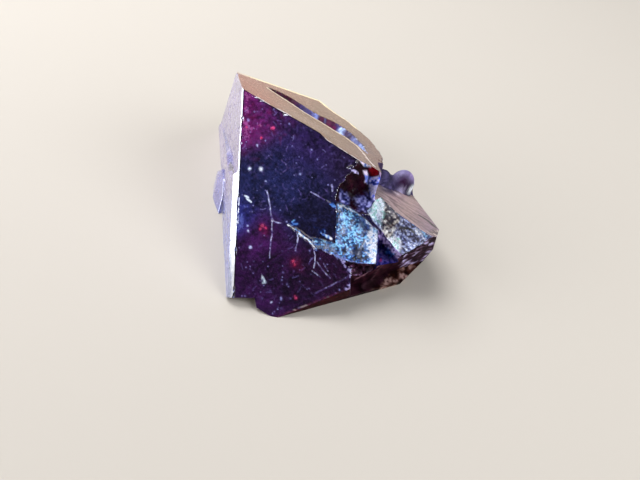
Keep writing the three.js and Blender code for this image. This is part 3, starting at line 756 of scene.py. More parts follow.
# painted shade on the riser
RISER = [(0.2, "#180c28"), (0.8, "#382848")]
KNOB_LIGHT_AND_SHADE = [  # painted light and shade of the knob, a pale lit cap, a shaded wine middle and a white highlight: (place, radius, strength, colour)
    ((4.9, 9.05, 0.3), 0.42, 0.85, "#7c7490"),
    ((5, 9.7, 0.15), 0.3, 0.7, "#8c7ca0"),
    ((4.62, 9.45, 0.6), 0.42, 1, "#280824"),
    ((4.65, 9.8, 0.85), 0.35, 0.95, "#1c0620"),
    ((5.19, 10, 0.36), 0.14, 0.8, "#c0b8d8"),
    ((4.95, 10.1, 0.81), 0.17, 2.5, "#f0fff8"),
    ((4.5, 9.6, 1.2), 0.2, 0.7, "#b8b0c8"),
    ((4.68, 8.8, 0.8), 0.3, 0.6, "#5c5470"),
]


def remnant_colours(points):
    """Colour of the rough remnant behind the terrace and its knob: grey violet, wine in the knob's middle,
    with painted light and shade on the knob and painted shade on the riser.
    """
    places = local(points, ON_TOP)
    back, run, under = places.T
    middle, fine = lattice(back + under, run, 0.5, 271), lattice(back, run + under, 0.12, 273)
    colours = ramp(0.6 * middle + 0.4 * fine, REMNANT)
    for centre, radius, strength, code in KNOB_LIGHT_AND_SHADE:
        colours = paint(colours, strength * spot(places, centre, radius), code)
    riser = (run < along(TOP_END, back) + RISER_RUN) & (under < TERRACE_DEPTH)
    return paint(colours, riser, ramp(lattice(back, run + under, 0.15, 275), RISER))


# by run along the pit; its pale entries are painted glints
TRENCH_SHADES = [
    (0, "#44081c"), (1.5, "#400820"), (2.1, "#442c50"), (2.8, "#5c4870"), (3.15, "#9c90c0"),
    (3.4, "#4c1030"), (3.8, "#701438"), (4.2, "#4c1034"), (4.55, "#5c4c74"), (4.72, "#dcd4f4"),
    (4.88, "#847898"), (5.1, "#401c34"), (5.4, "#645878"), (6, "#706484"), (6.4, "#a09cc0"),
]
TOP_SHADES = [  # by run, the distance along the face from its left edge: tan shades of a painted reflection
    (-1, "#cc9990"), (1, "#b88e7a"), (2.5, "#a0846c"), (5, "#947c62"), (6.5, "#8c6c68"), (8, "#785868"),
]
# darker and lighter marks in the top face's painted reflection
TOP_MARKS = [
    (spot, (0.6, 0.6), 1.3, 0.6, "#d07c74"),
    (patch, [(4.4, 4.6), (5.6, 4.9), (5.4, 6.3), (3.4, 7.4), (3, 6.6)], 0.3, 0.7, "#6c5470"),
    (stroke, [(1.3, 5.3), (1.5, 6.2), (1.1, 7)], 0.3, 0.6, "#7c6450"),
    (stroke, [(0.8, 4), (1.5, 5.2), (1.2, 6.3)], 0.12, 0.4, "#6c5444"),
    (stroke, [(0.9, 4.7), (0.75, 5.3)], 0.2, 0.9, "#4c4438"),
    (stroke, [(1.3, 5.1), (1.5, 5.5)], 0.16, 0.7, "#d8d0c8"),
]
# tan shades of the terrace's painted reflection
TERRACE_SHADES = [(7.5, "#8c7c80"), (9, "#a89494"), (10.5, "#ac9490"), (12, "#94808c"), (13, "#786474")]
# a painted shadow by the remnant and the knob, darker and paler streaks, brown speckle, painted pale
# highlights, and a black crack
TERRACE_MARKS = [
    (patch, [(4, 8.2), (5.7, 8.9), (4.8, 9.7), (2.9, 9.3), (2.3, 8.7)], 0.3, 0.9, "#3c3450"),
    (stroke, [(1.66, 9.37), (0.98, 10.11), (0.55, 10.79), (0.35, 11.43)], 0.12, 0.7, "#5c4448"),
    (stroke, [(2.57, 9.71), (2.16, 10.58), (1.52, 11.45)], 0.12, 0.5, "#6c5458"),
    (stroke, [(2.01, 8.99), (0.86, 9.81), (0.44, 10.49), (0.08, 11.3), (-0.27, 12.09)], 0.2, 0.6, "#c8b4b0"),
    (patch, [(0.2, 11.9), (1.6, 12.2), (1.8, 12.8), (0.2, 12.8)], 0.15, 0.7, BROWN_SPECKLE),
    (spot, (3.8, 9.5), 0.22, 0.9, "#e8dce0"), (spot, (3.2, 8.7), 0.16, 0.7, "#c0b4c8"),
    (stroke, [(2.25, 11.2), (2.3, 11.6), (2.1, 11.95), (1.95, 12.2)], 0.26, 1, "#0c0406"),
]
RIM_LINE = [  # the pale rim before the pit, a painted highlight, as (back, run)
    (3.6, -0.1), (3.38, 0.7), (3.42, 1.5), (3.25, 2.5), (3.36, 3.6), (3.4, 4.7), (3.42, 5.3), (3.1, 6.2),
    (2.2, 6.85), (1.4, 7.3), (0.9, 7.7),
]
# nicks in the front edge, painted pale as glints: (line, width)
PALE_NICKS = [([(0, 0.8), (0, 1.3)], 0.4), ([(0, 2.1), (0, 2.6)], 0.45), ([(0, 4.9), (0, 7)], 0.2)]


def rim_highlight(points):
    """True where the top face has a painted pale highlight: at its back edge, before the pit, and in nicks in
    front.
    """
    back, run, _ = local(points, ON_TOP).T
    far = local(points, ON_BACK)
    gap = np.minimum(from_edge(back, run, ON_TOP, [BACK_PLANE]), far[:, 2] - back_break(far[:, 0], far[:, 1]))
    places = pair(*wander(back, run, 0.1, 0.3, 287))
    nicks = np.maximum.reduce([stroke(places, line, width) for line, width in PALE_NICKS])
    return ((gap < 0.3) & (run < 7)) | (stroke(places, RIM_LINE, 0.15) > 0.4) | (nicks > 0.5)


def rim_colours(points):
    """Colour of the painted rim highlights: cream, golden towards the back."""
    back = local(points, ON_TOP)[:, 0]
    return ramp(back, [(0, "#d8c8c0"), (3, "#d0b8a0"), (4, "#f0dca8"), (9, "#ffe8b0")])


def top_colours(points):
    """Colour of the top face, painted as its warm reflection: tan, pinker to the left."""
    back, run, _ = local(points, ON_TOP).T
    streaks = 1 + 0.35 * rough(back * 2 + run, run * 0.3, 0.6, 281) + 0.12 * rough(back, run, 0.15, 285, 2)
    return marked(ramp(run, TOP_SHADES) * streaks[..., None], back, run, TOP_MARKS, 291, 0.06)


def terrace_colours(points):
    """Colour of the terrace: pinkish tan painted as its reflection, streaked along, with a painted shadow by
    the remnant, and one black crack.
    """
    back, run, _ = local(points, ON_TOP).T
    streaks = 1 + 0.8 * rough(back * 2.2, run * 0.3, 0.3, 293) + 0.4 * rough(back, run, 0.12, 294, 2)
    colours = ramp(run, TERRACE_SHADES) * np.clip(streaks, 0.3, 1.8)[..., None]
    return marked(colours, back, run, TERRACE_MARKS, 295, 0.1)


def trench_colours(points):
    """Colour of the pit in the top face: wine and violet by turns along it, with a few painted pale glints.
    """
    back, run, _ = local(points, ON_TOP).T
    shades = ramp(run + 0.5 * rough(back, run, 0.3, 297), TRENCH_SHADES)
    return shades * (0.55 + 0.9 * lattice(back, run, 0.14, 299))[..., None]


LEFT_SHADES = [  # by distance up the ridge: pale shades of the painted reflection
    (-11, "#a6bcf4"), (-8.5, "#a6bcf0"), (-6, "#a2b4e2"), (-5, "#bcb8cc"), (-3.5, "#ccc4d4"), (0, "#d2c8da"),
]
# white strokes and spots are painted highlights, the pale blue ones part of the painted reflection; the dark
# line and the blue-grey band follow the growth layer's edge
LEFT_MARKS = [
    (stroke, [(3, 1.62), (1.12, 0.76), (-0.2, 0.2), (-1.5, -0.3)], 0.2, 1.8, "#ffffff"),
    (stroke, [(3.4, -0.55), (2.1, -1.15), (1.05, -1.7)], 0.16, 0.8, [(0.3, "#7c7898"), (0.6, "#b8b4d0")]),
    (spot, (1.99, -1.3), 0.2, 1.2, "#ffffff"), (spot, (4.1, 0.7), 0.25, 0.8, "#f4f0ff"),
    (spot, (6, 0.75), 0.3, 0.8, "#ffffff"), (spot, (6, -0.5), 0.25, 0.5, "#f0ecfc"),
    (spot, (1.66, -2.13), 0.15, 0.6, "#f4f0ff"),
    (stroke, [(8.1, -0.72), (6.13, -1.5), (5.35, -2.12), (4.2, -2.53)], 0.42, 0.85, "#8e98c0"),
    (stroke, [(4.2, -2.55), (3.5, -3.1), (2.8, -3.6)], 0.3, 0.8, "#98a2c8"),
    (stroke, [(3.4, -3.35), (2, -3.98), (1.6, -4.15)], 0.16, 0.95, "#33304c"),
    (stroke, [(3.57, -2.86), (2.2, -3.5), (0.9, -4.1)], 0.3, 0.5, "#b0b0ea"),
    (spot, (6.44, -1.97), 0.25, 1.2, "#ffffff"), (spot, (4.2, -2.48), 0.25, 1.2, "#ffffff"),
    (spot, (2.27, -2.76), 0.2, 1, "#ffffff"), (spot, (5.2, -2.3), 0.12, 0.8, "#ffffff"),
    (patch, [(5, -3.4), (9, -2.6), (9, -6), (5.2, -6)], 0.5, 0.6, "#9ca6d2"),
    (stroke, [(4.4, -3.6), (3.6, -4.4), (3, -5.2)], 0.3, 0.5, "#c8bcb4"),
    (stroke, [(2.2, -4.6), (2, -5.6)], 0.25, 0.5, "#8c8cac"),
    (stroke, [(1, -5.6), (1.5, -7.2), (1, -9)], 0.7, 0.6, "#9cacf0"),
    (stroke, [(3.2, -6), (2.6, -7.4)], 0.3, 0.6, "#8c94bc"),
    (spot, (2.2, -7), 0.3, 0.8, "#ccd8ff"), (spot, (1.4, -6.4), 0.2, 0.8, "#e4ecff"),
]


def left_colours(points):
    """Colour of the left face, painted as its reflection: pale lavender with cloudy streaks, bluer towards
    its foot.
    """
    back, up, _ = local(points, ON_LEFT).T
    clouds = 1 + 0.22 * rough(back * 0.5 + up, up - 0.3 * back, 0.8, 301) + 0.1 * rough(back, up, 0.2, 305, 2)
    colours = ramp(up, LEFT_SHADES) * clouds[..., None]
    glints = smooth(lattice(back, up, 0.13, 307), 0.84, 0.97)
    return marked(paint(colours, 0.6 * glints, "#f4f2ff"), back, up, LEFT_MARKS, 311, 0.25)


# painted shade on the lower bars
BARS = [(0.25, "#14080c"), (0.5, "#240f18"), (0.75, "#3c2028")]
BAR_LINES = [  # lines along small steps in the bars, the pale ones painted as highlights where the steps catch light: (line in space, width, strength, colour)
    ([(1.86, -6.37, 1.21), (2.27, -6.24, 1.39), (2.52, -6.31, 1.95), (2.97, -6.07, 1.84)],
     0.16, 0.9, "#846870"),
    ([(3.28, -5.97, 1.98), (3.04, -5.9, 1.41), (2.86, -5.63, 0.37), (2.27, -6.26, 0.35)],
     0.1, 0.7, "#5c4448"),
    ([(3.6, -5.8, 2.2), (3.5, -5.5, 1.1), (3.2, -5.5, 0.37), (2.6, -6.2, 0.35)], 0.3, 0.5, "#2c1c1c"),
]
# The ledge's near side, as (y, x).
LEDGE_LINE = [(-7.22, 1.99), (-6.39, 2.8), (-5.53, 3.59), (-4.56, 4.42), (-4.33, 4.78)]
CRUMBLED = [(0.4, "#1c0c18"), (0.52, "#3c2834"), (0.62, "#6c5c70"), (0.74, "#c0c8e8")]
LEDGE_BROWN = [(0.36, "#180a08"), (0.5, "#30180f"), (0.62, "#54382c"), (0.76, "#b09a84")]
# painted shade, plain dark wine at the left
LOWER_WINE = [(0.2, "#160508"), (0.8, "#3c1418")]


def dark_colours(points):
    """Colour of the lower faces, painted dark as their shade: plain dark wine at the left, then darker bars
    with pale brown lines painted as highlights of small steps, and brown crumbs at the right and on the
    ledge."""
    back, up, _ = local(points, ON_RECESS).T
    fine = lattice(back, up, 0.11, 325)
    colours = ramp(0.6 * lattice(back * 0.25, up, 0.2, 321) + 0.4 * fine, BARS)
    for line, width, strength, code in BAR_LINES:
        colours = paint(colours, strength * stroke(points, line, width), code)
    x, y, z = points.T
    crumbled = smooth(-up + 0.5 * rough(back, up, 0.5, 327), 3.05, 3.3)
    colours = paint(colours, crumbled, ramp(0.5 * fine + 0.5 * lattice(back, up, 0.25, 329), CRUMBLED))
    ledge = smooth(x - along(LEDGE_LINE, y) + 0.4 * rough(x, y, 0.5, 331), -0.1, 0.1) * smooth(z, 0.6, 0.4)
    brown = ramp(0.5 * lattice(x, y, 0.12, 333) + 0.5 * lattice(x, y, 0.3, 335), LEDGE_BROWN)
    colours = paint(colours, ledge * smooth(x, 1.9, 2.1), brown)
    return paint(colours, smooth(x, 1.6, 1.4), ramp(fine, LOWER_WINE))


def plain_colours(points):
    """Colour of the back and the underside: dark wine with violet patches."""
    x, y, z = points.T
    cloud = 0.5 * lattice(x + 0.5 * z, y + 0.5 * z, 0.9, 341) + 0.5 * lattice(x - z, y + z, 0.16, 345)
    return ramp(cloud, [(0.2, "#1a0a14"), (0.5, "#33162c"), (0.7, "#4c2440"), (0.85, "#7c5878")])


# ---- Solids ----

def new_object(name, data):
    """A new object in the scene."""
    thing = bpy.data.objects.new(name, data)
    bpy.context.scene.collection.objects.link(thing)
    return thing


def new_solid(name, points, faces):
    """A mesh object from points and faces."""
    mesh = bpy.data.meshes.new(name)
    mesh.from_pydata(points, [], faces)
    mesh.update()
    return new_object(name, mesh)


def hull(name, points):
    """The convex solid round some points."""
    shape = bmesh.new()
    for point in points:
        shape.verts.new(point)
    made = bmesh.ops.convex_hull(shape, input=shape.verts)
    inner = [item for item in made["geom_interior"] if isinstance(item, bmesh.types.BMVert)]
    bmesh.ops.delete(shape, geom=inner, context="VERTS")
    bmesh.ops.dissolve_limit(shape, angle_limit=0.001, verts=shape.verts, edges=shape.edges)
    bmesh.ops.recalc_face_normals(shape, faces=shape.faces)
    mesh = bpy.data.meshes.new(name)
    shape.to_mesh(mesh)
    shape.free()
    return new_object(name, mesh)


def inside_all(planes):
    """Corners of the solid inside all the planes: the points where three meet that no other cuts off."""
    corners = []
    for three in itertools.combinations(planes, 3):
        normals = np.array([normal for normal, _ in three])
        if abs(np.linalg.det(normals)) > TINY:
            point = np.linalg.solve(normals, [distance for _, distance in three])
            if all(normal @ point < distance + TINY for normal, distance in planes):
                corners.append(point)
    return corners


FOOT_CORNERS = [  # of the lump at the foot of the left face; the last three are buried in the crystal
    (-6.33, 3.6, 0), (-6.42, 2.2, 0), (-6.38, 1.15, 0), (-6.2, 0.5, 0), (-5.9, -0.35, 0),
    (-6.22, 2.4, 0.6), (-6.18, 1.25, 0.65), (-5.98, 0.5, 0.45),
    (-5.8, 2.3, 1.3), (-5.62, 1.1, 1.4), (-5.6, 0.3, 1),
    (-5, 3.4, 0), (-5, 0, 0), (-5, 1.5, 1),
]
FOOT_LOW, FOOT_HIGH = (-7, -0.45, 0.05), (-5.5, 3.3, 1.5)  # the part of the foot that is rounded
CHIP_OUTLINE = [(-2, 10.84), (1.04, 10.72), (1.15, 11.22), (1.95, 11.64), (2.1, 13), (-2, 13)]
CHIP_REACH = (-1, 2.2)  # from outside the front face to this depth under it


def lower_left_chip():
    """The chipped-off corner: its outline on the front face, drawn out straight into the crystal."""
    count = len(CHIP_OUTLINE)
    points = [(u, v, deep) for deep in CHIP_REACH for u, v in CHIP_OUTLINE]
    sides = [(i, (i + 1) % count, count + (i + 1) % count, count + i) for i in range(count)]
    faces = [tuple(reversed(range(count))), tuple(range(count, 2 * count)), *sides]
    return new_solid("chip", placed(points, ON_FRONT), faces)


def missing(name, frame_on, u_span, v_span, step, depth, above=2.0):
    """The material missing above a face, as a closed block on a grid.

    Its underside lies depth(u, v) into the crystal, and its flat lid `above` outside the face."""
    u, v = (np.arange(low, high + step / 2, step) for low, high in (u_span, v_span))
    across, down = np.meshgrid(u, v, indexing="ij")
    deep = np.maximum(depth(across, down), 0.05 - above)
    under = np.stack([across, down, deep], axis=-1).reshape(-1, 3)
    index = np.arange(len(under)).reshape(deep.shape)
    ring = np.concatenate([index[:-1, 0], index[-1, :-1], index[:0:-1, -1], index[0, :0:-1]])
    lid = under[ring] * (1, 1, 0) - (0, 0, above)
    grid = np.stack([index[:-1, :-1], index[1:, :-1], index[1:, 1:], index[:-1, 1:]], axis=-1).reshape(-1, 4)
    low = len(under) + np.arange(len(ring))
    sides = np.stack([low, np.roll(low, -1), np.roll(ring, -1), ring], axis=-1)
    faces = grid.tolist() + sides.tolist() + [low[::-1].tolist()]
    return new_solid(name, placed(np.concatenate([under, lid]), frame_on), faces)


def carve(start, steps):
    """The start solid after each (operation, solid) step, as a new mesh; the solids are then removed."""
    for operation, solid in steps:
        cut = start.modifiers.new(solid.name, "BOOLEAN")
        cut.operation, cut.object, cut.solver = operation, solid, "MANIFOLD"
    bpy.context.view_layer.update()
    ready = start.evaluated_get(bpy.context.evaluated_depsgraph_get())
    mesh = bpy.data.meshes.new_from_object(ready)
    for solid in [start, *(solid for _, solid in steps)]:
        bpy.data.meshes.remove(solid.data)
    return mesh


def crystal():
    """The whole crystal: faces and straight breaks first, then each side's relief and breaks carved in."""
    planes = [
        facing(FRONT, 0), facing(TOP, TOP_FACE + TOP_SPARE), LEFT_PLANE, RIDGE_PLANE, BACK_PLANE, RIGHT_PLANE,
        LOWER_PLANE, CORNER_PLANE, LEDGE_PLANE, GROUND,
    ]
    recess = [
        reversed_plane(RECESS_PLANE), reversed_plane(facing((1, 0, 0), RECESS_START)),
        (GROUND[0], -LEDGE_HEIGHT),
    ]
    cuts = [
        missing("left_missing", ON_LEFT, (-1.6, 12.6), (-12.6, 2.2), LEFT_GRID, left_skin),
        missing("front_missing", ON_FRONT, (-0.9, 11.4), (-0.7, 12.6), FRONT_GRID, front_break),
        missing("top_missing", ON_TOP, (-2.4, 11.4), (-3.2, 13.2), TOP_GRID, top_break),
        missing("back_missing", ON_BACK, (-9, 9), (-1, 8), BACK_GRID, back_break, 9.0),
        missing("base_missing", ON_GROUND, (-6, 5), (-6, 6), BACK_GRID, base_break),
        lower_left_chip(),
        hull("lower_recess", inside_all(recess + FAR)),
    ]
    steps = [("DIFFERENCE", cut) for cut in cuts]
    steps.insert(1, ("UNION", hull("foot", FOOT_CORNERS)))  # the foot stands out from the finished left face
    return carve(hull("octahedron", inside_all(planes + FAR)), steps)


FLAT_AREA = 0.06  # faces larger than this are flat ones
FLAT_EDGE = 0.22  # and are split until their edges are shorter than this
WIDE_AREA = 25.0  # the widest flat faces are larger than this, and are split less finely
SPLITS = 8  # enough to halve the longest edge down to that


def split_flats(mesh):
    """Splits the large flat faces into small triangles, so that each can carry its own colours."""
    shape = bmesh.new()
    shape.from_mesh(mesh)
    flat = shape.faces.layers.int.new("flat")
    large = [face for face in shape.faces if face.calc_area() > FLAT_AREA]
    for face in large:
        face[flat] = 1 + int(face.calc_area() // WIDE_AREA)
    bmesh.ops.triangulate(shape, faces=large)
    for _ in range(SPLITS):
        long = [
            edge for edge in shape.edges
            if any(face[flat] and edge.calc_length() > FLAT_EDGE * face[flat] for face in edge.link_faces)
        ]
        if not long:
            break
        bmesh.ops.subdivide_edges(shape, edges=long, cuts=1)
        split = [face for face in shape.faces if face[flat] and len(face.verts) > 3]
        bmesh.ops.triangulate(shape, faces=split)
    shape.faces.layers.int.remove(flat)
    shape.to_mesh(mesh)
    shape.free()
    return mesh


# ---- Materials ----

def add(tree, kind, settings=None, links=None):
    """Adds a node with its settings and links: a setting is an attribute or a socket's value."""
    node = tree.nodes.new(kind)
    for key, value in (settings or {}).items():
        if hasattr(node, str(key)):
            setattr(node, key, value)
        else:
            node.inputs[key].default_value = value
    for key, source in (links or {}).items():
        tree.links.new(source, node.inputs[key])
    return node


def colour(code):
    """A hex colour for a socket."""
    return (*linear(code), 1.0)


CUPRITE_IOR = 2.85
ABSORB_RED = "#c01818"  # cuprite passes deep red and stops the rest
ABSORB_DENSITY = 1500.0  # per metre
COAT_IOR, COAT_ROUGHNESS = 1.9, 0.08
GRAIN_HEIGHT = 0.02 * MM


def mineral(name, roughness, grain_mm, grain_share, bump, see_through=0.5, specular=0.5, coat=0.0,
            gloss="#ffffff"):
    """A cuprite surface: high index, see-through by its share, with deep red absorption inside.

    Its colour is the mesh's own tint, with fine grain over it that also sets roughness and bump."""
    material = bpy.data.materials.new("cuprite_" + name)
    material.use_nodes = True
    tree = material.node_tree
    tree.nodes.clear()
    place = add(tree, "ShaderNodeTexCoord")
    grain = add(tree, "ShaderNodeTexNoise", {"Scale": 1 / (grain_mm * MM), "Detail": 3.0, "Roughness": 0.6},
                {"Vector": place.outputs["Object"]})
    dull, light = [
        add(tree, "ShaderNodeMapRange", {"From Min": 0.35, "From Max": 0.65, "To Min": low, "To Max": high},
            {"Value": grain.outputs["Fac"]})
        for low, high in (roughness, (1 - grain_share, 1 + grain_share))]
    tint = add(tree, "ShaderNodeAttribute", {"attribute_name": "tint"})
    mixed = add(tree, "ShaderNodeVectorMath", {"operation": "SCALE"},
                {0: tint.outputs["Color"], "Scale": light.outputs[0]})
    raised = add(tree, "ShaderNodeBump", {"Strength": bump, "Distance": GRAIN_HEIGHT},
                 {"Height": grain.outputs["Fac"]})
    shader = add(tree, "ShaderNodeBsdfPrincipled", {
        "IOR": CUPRITE_IOR, "Transmission Weight": see_through, "Specular IOR Level": specular,
        "Specular Tint": colour(gloss),
        "Coat Weight": coat, "Coat IOR": COAT_IOR, "Coat Roughness": COAT_ROUGHNESS,
    }, {"Roughness": dull.outputs[0], "Base Color": mixed.outputs[0], "Normal": raised.outputs[0]})
    inside = add(tree, "ShaderNodeVolumeAbsorption", {"Color": colour(ABSORB_RED), "Density": ABSORB_DENSITY})
    add(tree, "ShaderNodeOutputMaterial", {}, {"Surface": shader.outputs[0], "Volume": inside.outputs[0]})
    return material


def ridge_colours(points):
    """Colour of the ridge facet, painted as the light it mirrors: white, bluish where it is widest, and
    narrowing again towards its foot.
    """
    u, v, _ = local(points, ON_FRONT).T
    colours = ramp(v, [(0, "#f4eefa"), (4.2, "#f8f8ff"), (5.5, "#eef2ff"), (8, "#d8dcff"), (11, "#f4f4ff")])
    return paint(colours, smooth(-u - along([(8, 0.4), (10.5, 0.15)], v), 0, 0.05), "#606890")


# Each surface: its material, its colour by place, and the gain of its red, green and blue, which makes up for
# the light that the finish takes.
SURFACES = [
    # polished octahedron face: adamantine, nearly black, with painted light from inside
    (mineral("polished_face", (0.06, 0.2), 0.12, 0.3, 0.1), front_colours, (1.95, 1.5, 2.3)),
    # conchoidal break: silky, with a painted silvery sheen where fine cleavage steps catch light
    (mineral("silky_break", (0.25, 0.5), 0.08, 0.45, 0.4, 0, 0.15), break_colours, (0.95, 0.95, 1)),
    # glassy dark break of the bowl, the cleft and the crumbled corner, with painted sheen, highlights, glow
    # and shade
    (mineral("glassy_break", (0.2, 0.45), 0.12, 0.3, 0.3, 0, 0.015), dark_break_colours, (1, 0.85, 1.05)),
    # dull top face: a warm painted reflection, with a semi-metallic gloss at low angles
    (mineral("painted_top_reflection", (0.18, 0.28), 0.15, 0.04, 0.05, 0.5, 0.35, 0, "#f4dcc8"), top_colours,
     (0.95, 0.66, 0.52)),
    # left face: strong low-angle gloss over violet-grey, painted pale lavender as its reflection
    (mineral("painted_left_reflection", (0.14, 0.3), 0.3, 0.08, 0.12, 0.5, 0.5, 0.5), left_colours, (0.9, 0.78, 1.2)),
    # smooth lower faces and the ledge, in shade: dull dark brown, painted dark as that shade
    (mineral("dark_face", (0.4, 0.6), 0.14, 0.25, 0.2, 0, 0.004), dark_colours, (1.2, 0.95, 1.1)),
    # the sliver of face along the left ridge: glassy, nearly white where it mirrors the light
    (mineral("ridge_facet", (0.08, 0.16), 0.2, 0.03, 0.05, 0.5, 0.5, 1), ridge_colours, (2, 2, 2)),
    # rough remnant behind the terrace and the riser to it: dull grey violet, with painted light and shade
    (mineral("rough_remnant", (0.35, 0.6), 0.16, 0.2, 0.2, 0, 0.03), remnant_colours, (1.8, 1.7, 1.8)),
    # back and underside: hackly, dark wine with a broken gloss
    (mineral("hackly_break", (0.2, 0.5), 0.14, 0.3, 0.5, 0, 0.3), plain_colours, (1, 1, 1)),
    # cracks, flakes and grains in the polished face, which throw light back
    (mineral("crack_glint", (0.2, 0.5), 0.06, 0.3, 0.4, 0, 0.3), front_colours, (1.1, 1.1, 1.2)),
    # thin rims of the top face, painted pale as highlights: cream
    (mineral("rim_highlight", (0.3, 0.5), 0.1, 0.1, 0.1, 0, 0.3), rim_colours, (1, 1, 1)),
    # terrace a step below the top face: dull pinkish tan painted as its reflection, streaked
    (mineral("painted_terrace_reflection", (0.3, 0.5), 0.1, 0.15, 0.2, 0, 0.08), terrace_colours, (0.75, 0.66, 0.64)),
    # floor and walls of the pit in the top face: wine and violet, dull, with painted glints
    (mineral("pit_wall", (0.3, 0.5), 0.12, 0.3, 0.4, 0, 0.03), trench_colours, (1, 1.35, 1.45)),
]
(FACE, SILKY, GLASSY, TOP_PAINTED_REFLECTION, LEFT_PAINTED_REFLECTION, DARK, RIDGE, ROUGH, HACKLY, GLINT, RIM, TERRACE,
 TRENCH) = range(len(SURFACES))


def read(items, attribute, width, kind=np.float32):
    """One attribute of many mesh items, as an array."""
    values = np.empty(len(items) * width, kind)
    items.foreach_get(attribute, values)
    return values.reshape(-1, width) if width > 1 else values


def on_plane(centres, normals, plane, slack=0.02, turn=0.9995):
    """True for the faces that lie in a plane and look its way."""
    normal, distance = plane
    return (normals @ normal > turn) & (np.abs(centres @ normal - distance) < slack)


def within(values, low, high):
    """True where a value lies between two others."""
    return (values > low) & (values < high)


NEAR = 0.05  # how far a face's middle may lie from the surface that it belongs to
KNOB_REACH = 1.3  # the knob and its foot lie within this of its centre
TERRACE_START = 6.5  # the terrace, the remnant and the knob lie to the right of this
TRENCH_END, TRENCH_LOW = 6.9, 0.6  # the trench ends before this run, and above this depth
FOOT_RIGHT, FOOT_TOP = -5.3, 1.7  # the lump at the foot of the left face lies left of this and under this


def front_surfaces(slots, centres, normals):
    """The polished front face with its glints, and the deepest break at each place."""
    u, v, deep = local(centres, ON_FRONT).T
    depths = np.stack([part(u, v) for part in BREAKS])
    deepest, winner = depths.max(axis=0), depths.argmax(axis=0)
    broken = (np.abs(deep - deepest) < 0.12) & (deepest > 0.01)
    slots[broken] = SILKY
    slots[broken & np.isin(winner, GLASSY_BREAKS)] = GLASSY
    slots[(normals @ (STANDING @ FRONT) > 0.86) & (deep < 0.075)] = FACE
    slots[(slots == FACE) & (front_colours(centres).max(axis=1) > GLINT_START)] = GLINT
    return ~broken & (deep > 0.2)


def top_surfaces(slots, centres, normals, whole):
    """The top face painted as its reflection, with its rims and its pit, the terrace, and the rough remnant,
    knob and riser.
    """
    back, run, under = local(centres, ON_TOP).T
    facing_up = normals @ (STANDING @ TOP)
    knob = np.hypot(back - KNOB_CENTRE[0], run - KNOB_CENTRE[1]) < KNOB_REACH
    behind = (run > TERRACE_START) & ((back > along(TERRACE_BACK, run) - NEAR) | knob)
    slots[behind & within(under, 0, TERRACE_DEPTH + NEAR) & (facing_up > -0.2)] = ROUGH
    riser = within(under, -0.03, TERRACE_DEPTH - NEAR) & (run > along(TOP_END, back) - NEAR)
    slots[riser & whole & (facing_up > 0.1)] = ROUGH
    below = under + top_height(back, run)
    slots[(run < along(TOP_END, back) + 0.1) & (facing_up > 0.9) & within(below, -NEAR, NEAR)] = TOP_PAINTED_REFLECTION
    slots[(slots == TOP_PAINTED_REFLECTION) & rim_highlight(centres)] = RIM
    slots[(trench(back, run) > 0) & within(below, 0.005, TRENCH_LOW) & (run < TRENCH_END)] = TRENCH
    slots[(facing_up > 0.98) & (np.abs(under - TERRACE_DEPTH) < 0.06)] = TERRACE


def surface_of(centres, normals):
    """Which surface each face of the crystal belongs to, by its place and the way it looks."""
    slots = np.full(len(centres), HACKLY)
    whole = front_surfaces(slots, centres, normals)
    top_surfaces(slots, centres, normals, whole)
    inward = local(centres, ON_LEFT)[:, 2]
    slots[(normals @ (STANDING @ LEFT) > 0.5) & within(inward, -0.4, -NEAR)] = LEFT_PAINTED_REFLECTION
    foot = (centres[:, 0] < FOOT_RIGHT) & (centres[:, 2] < FOOT_TOP) & (normals[:, 2] > -0.5)
    slots[foot & (normals @ BACK_PLANE[0] < 0.8)] = LEFT_PAINTED_REFLECTION
    slots[on_plane(centres, normals, RIDGE_PLANE)] = RIDGE
    for plane in (LOWER_PLANE, RECESS_PLANE, CORNER_PLANE, LEDGE_PLANE):
        slots[on_plane(centres, normals, plane, 0.15, 0.95)] = DARK
    slots[on_plane(centres, normals, (-GROUND[0], LEDGE_HEIGHT))] = DARK
    return slots


SHARP_ANGLE = math.radians(24)  # edges that turn more than this stay crisp


def finish(mesh):
    """Gives each face its surface and each corner its colour, and moves the crystal to where it rests."""
    points = read(mesh.vertices, "co", 3).astype(float)
    centres, normals = (read(mesh.polygons, name, 3).astype(float) for name in ("center", "normal"))
    slots = surface_of(centres, normals)
    corner_point = read(mesh.loops, "vertex_index", 1, np.int32)
    corner_slot = np.repeat(slots, read(mesh.polygons, "loop_total", 1, np.int32))
    tints = np.ones((len(corner_point), 4), np.float32)
    mesh.materials.clear()
    for slot, (material, colours, gain) in enumerate(SURFACES):
        mesh.materials.append(material)
        mine = corner_slot == slot
        used, place = np.unique(corner_point[mine], return_inverse=True)
        if len(used):
            tints[mine, :3] = np.clip(colours(points[used]) * gain, 0, 1)[place]
    mesh.attributes.new("tint", "FLOAT_COLOR", "CORNER")
    mesh.attributes["tint"].data.foreach_set("color", tints.ravel())
    mesh.polygons.foreach_set("material_index", slots.astype(np.int32))
    mesh.vertices.foreach_set("co", ((points - MIDDLE) * MM).astype(np.float32).ravel())
    mesh.polygons.foreach_set("use_smooth", np.ones(len(slots), bool))
    mesh.set_sharp_from_angle(angle=SHARP_ANGLE)
    sharp = read(mesh.attributes["sharp_edge"].data, "value", 1, bool)
    middles = points[read(mesh.edges, "vertices", 2, np.int32)].mean(axis=1)
    sharp[((middles > FOOT_LOW) & (middles < FOOT_HIGH)).all(axis=1)] = False
    mesh.attributes["sharp_edge"].data.foreach_set("value", sharp)
    mesh.update()
    return mesh


piece = new_object("cuprite_crystal_body", finish(split_flats(crystal())))
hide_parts("cuprite_crystal")
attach(piece, "root")


# ---- Floor, light and camera ----

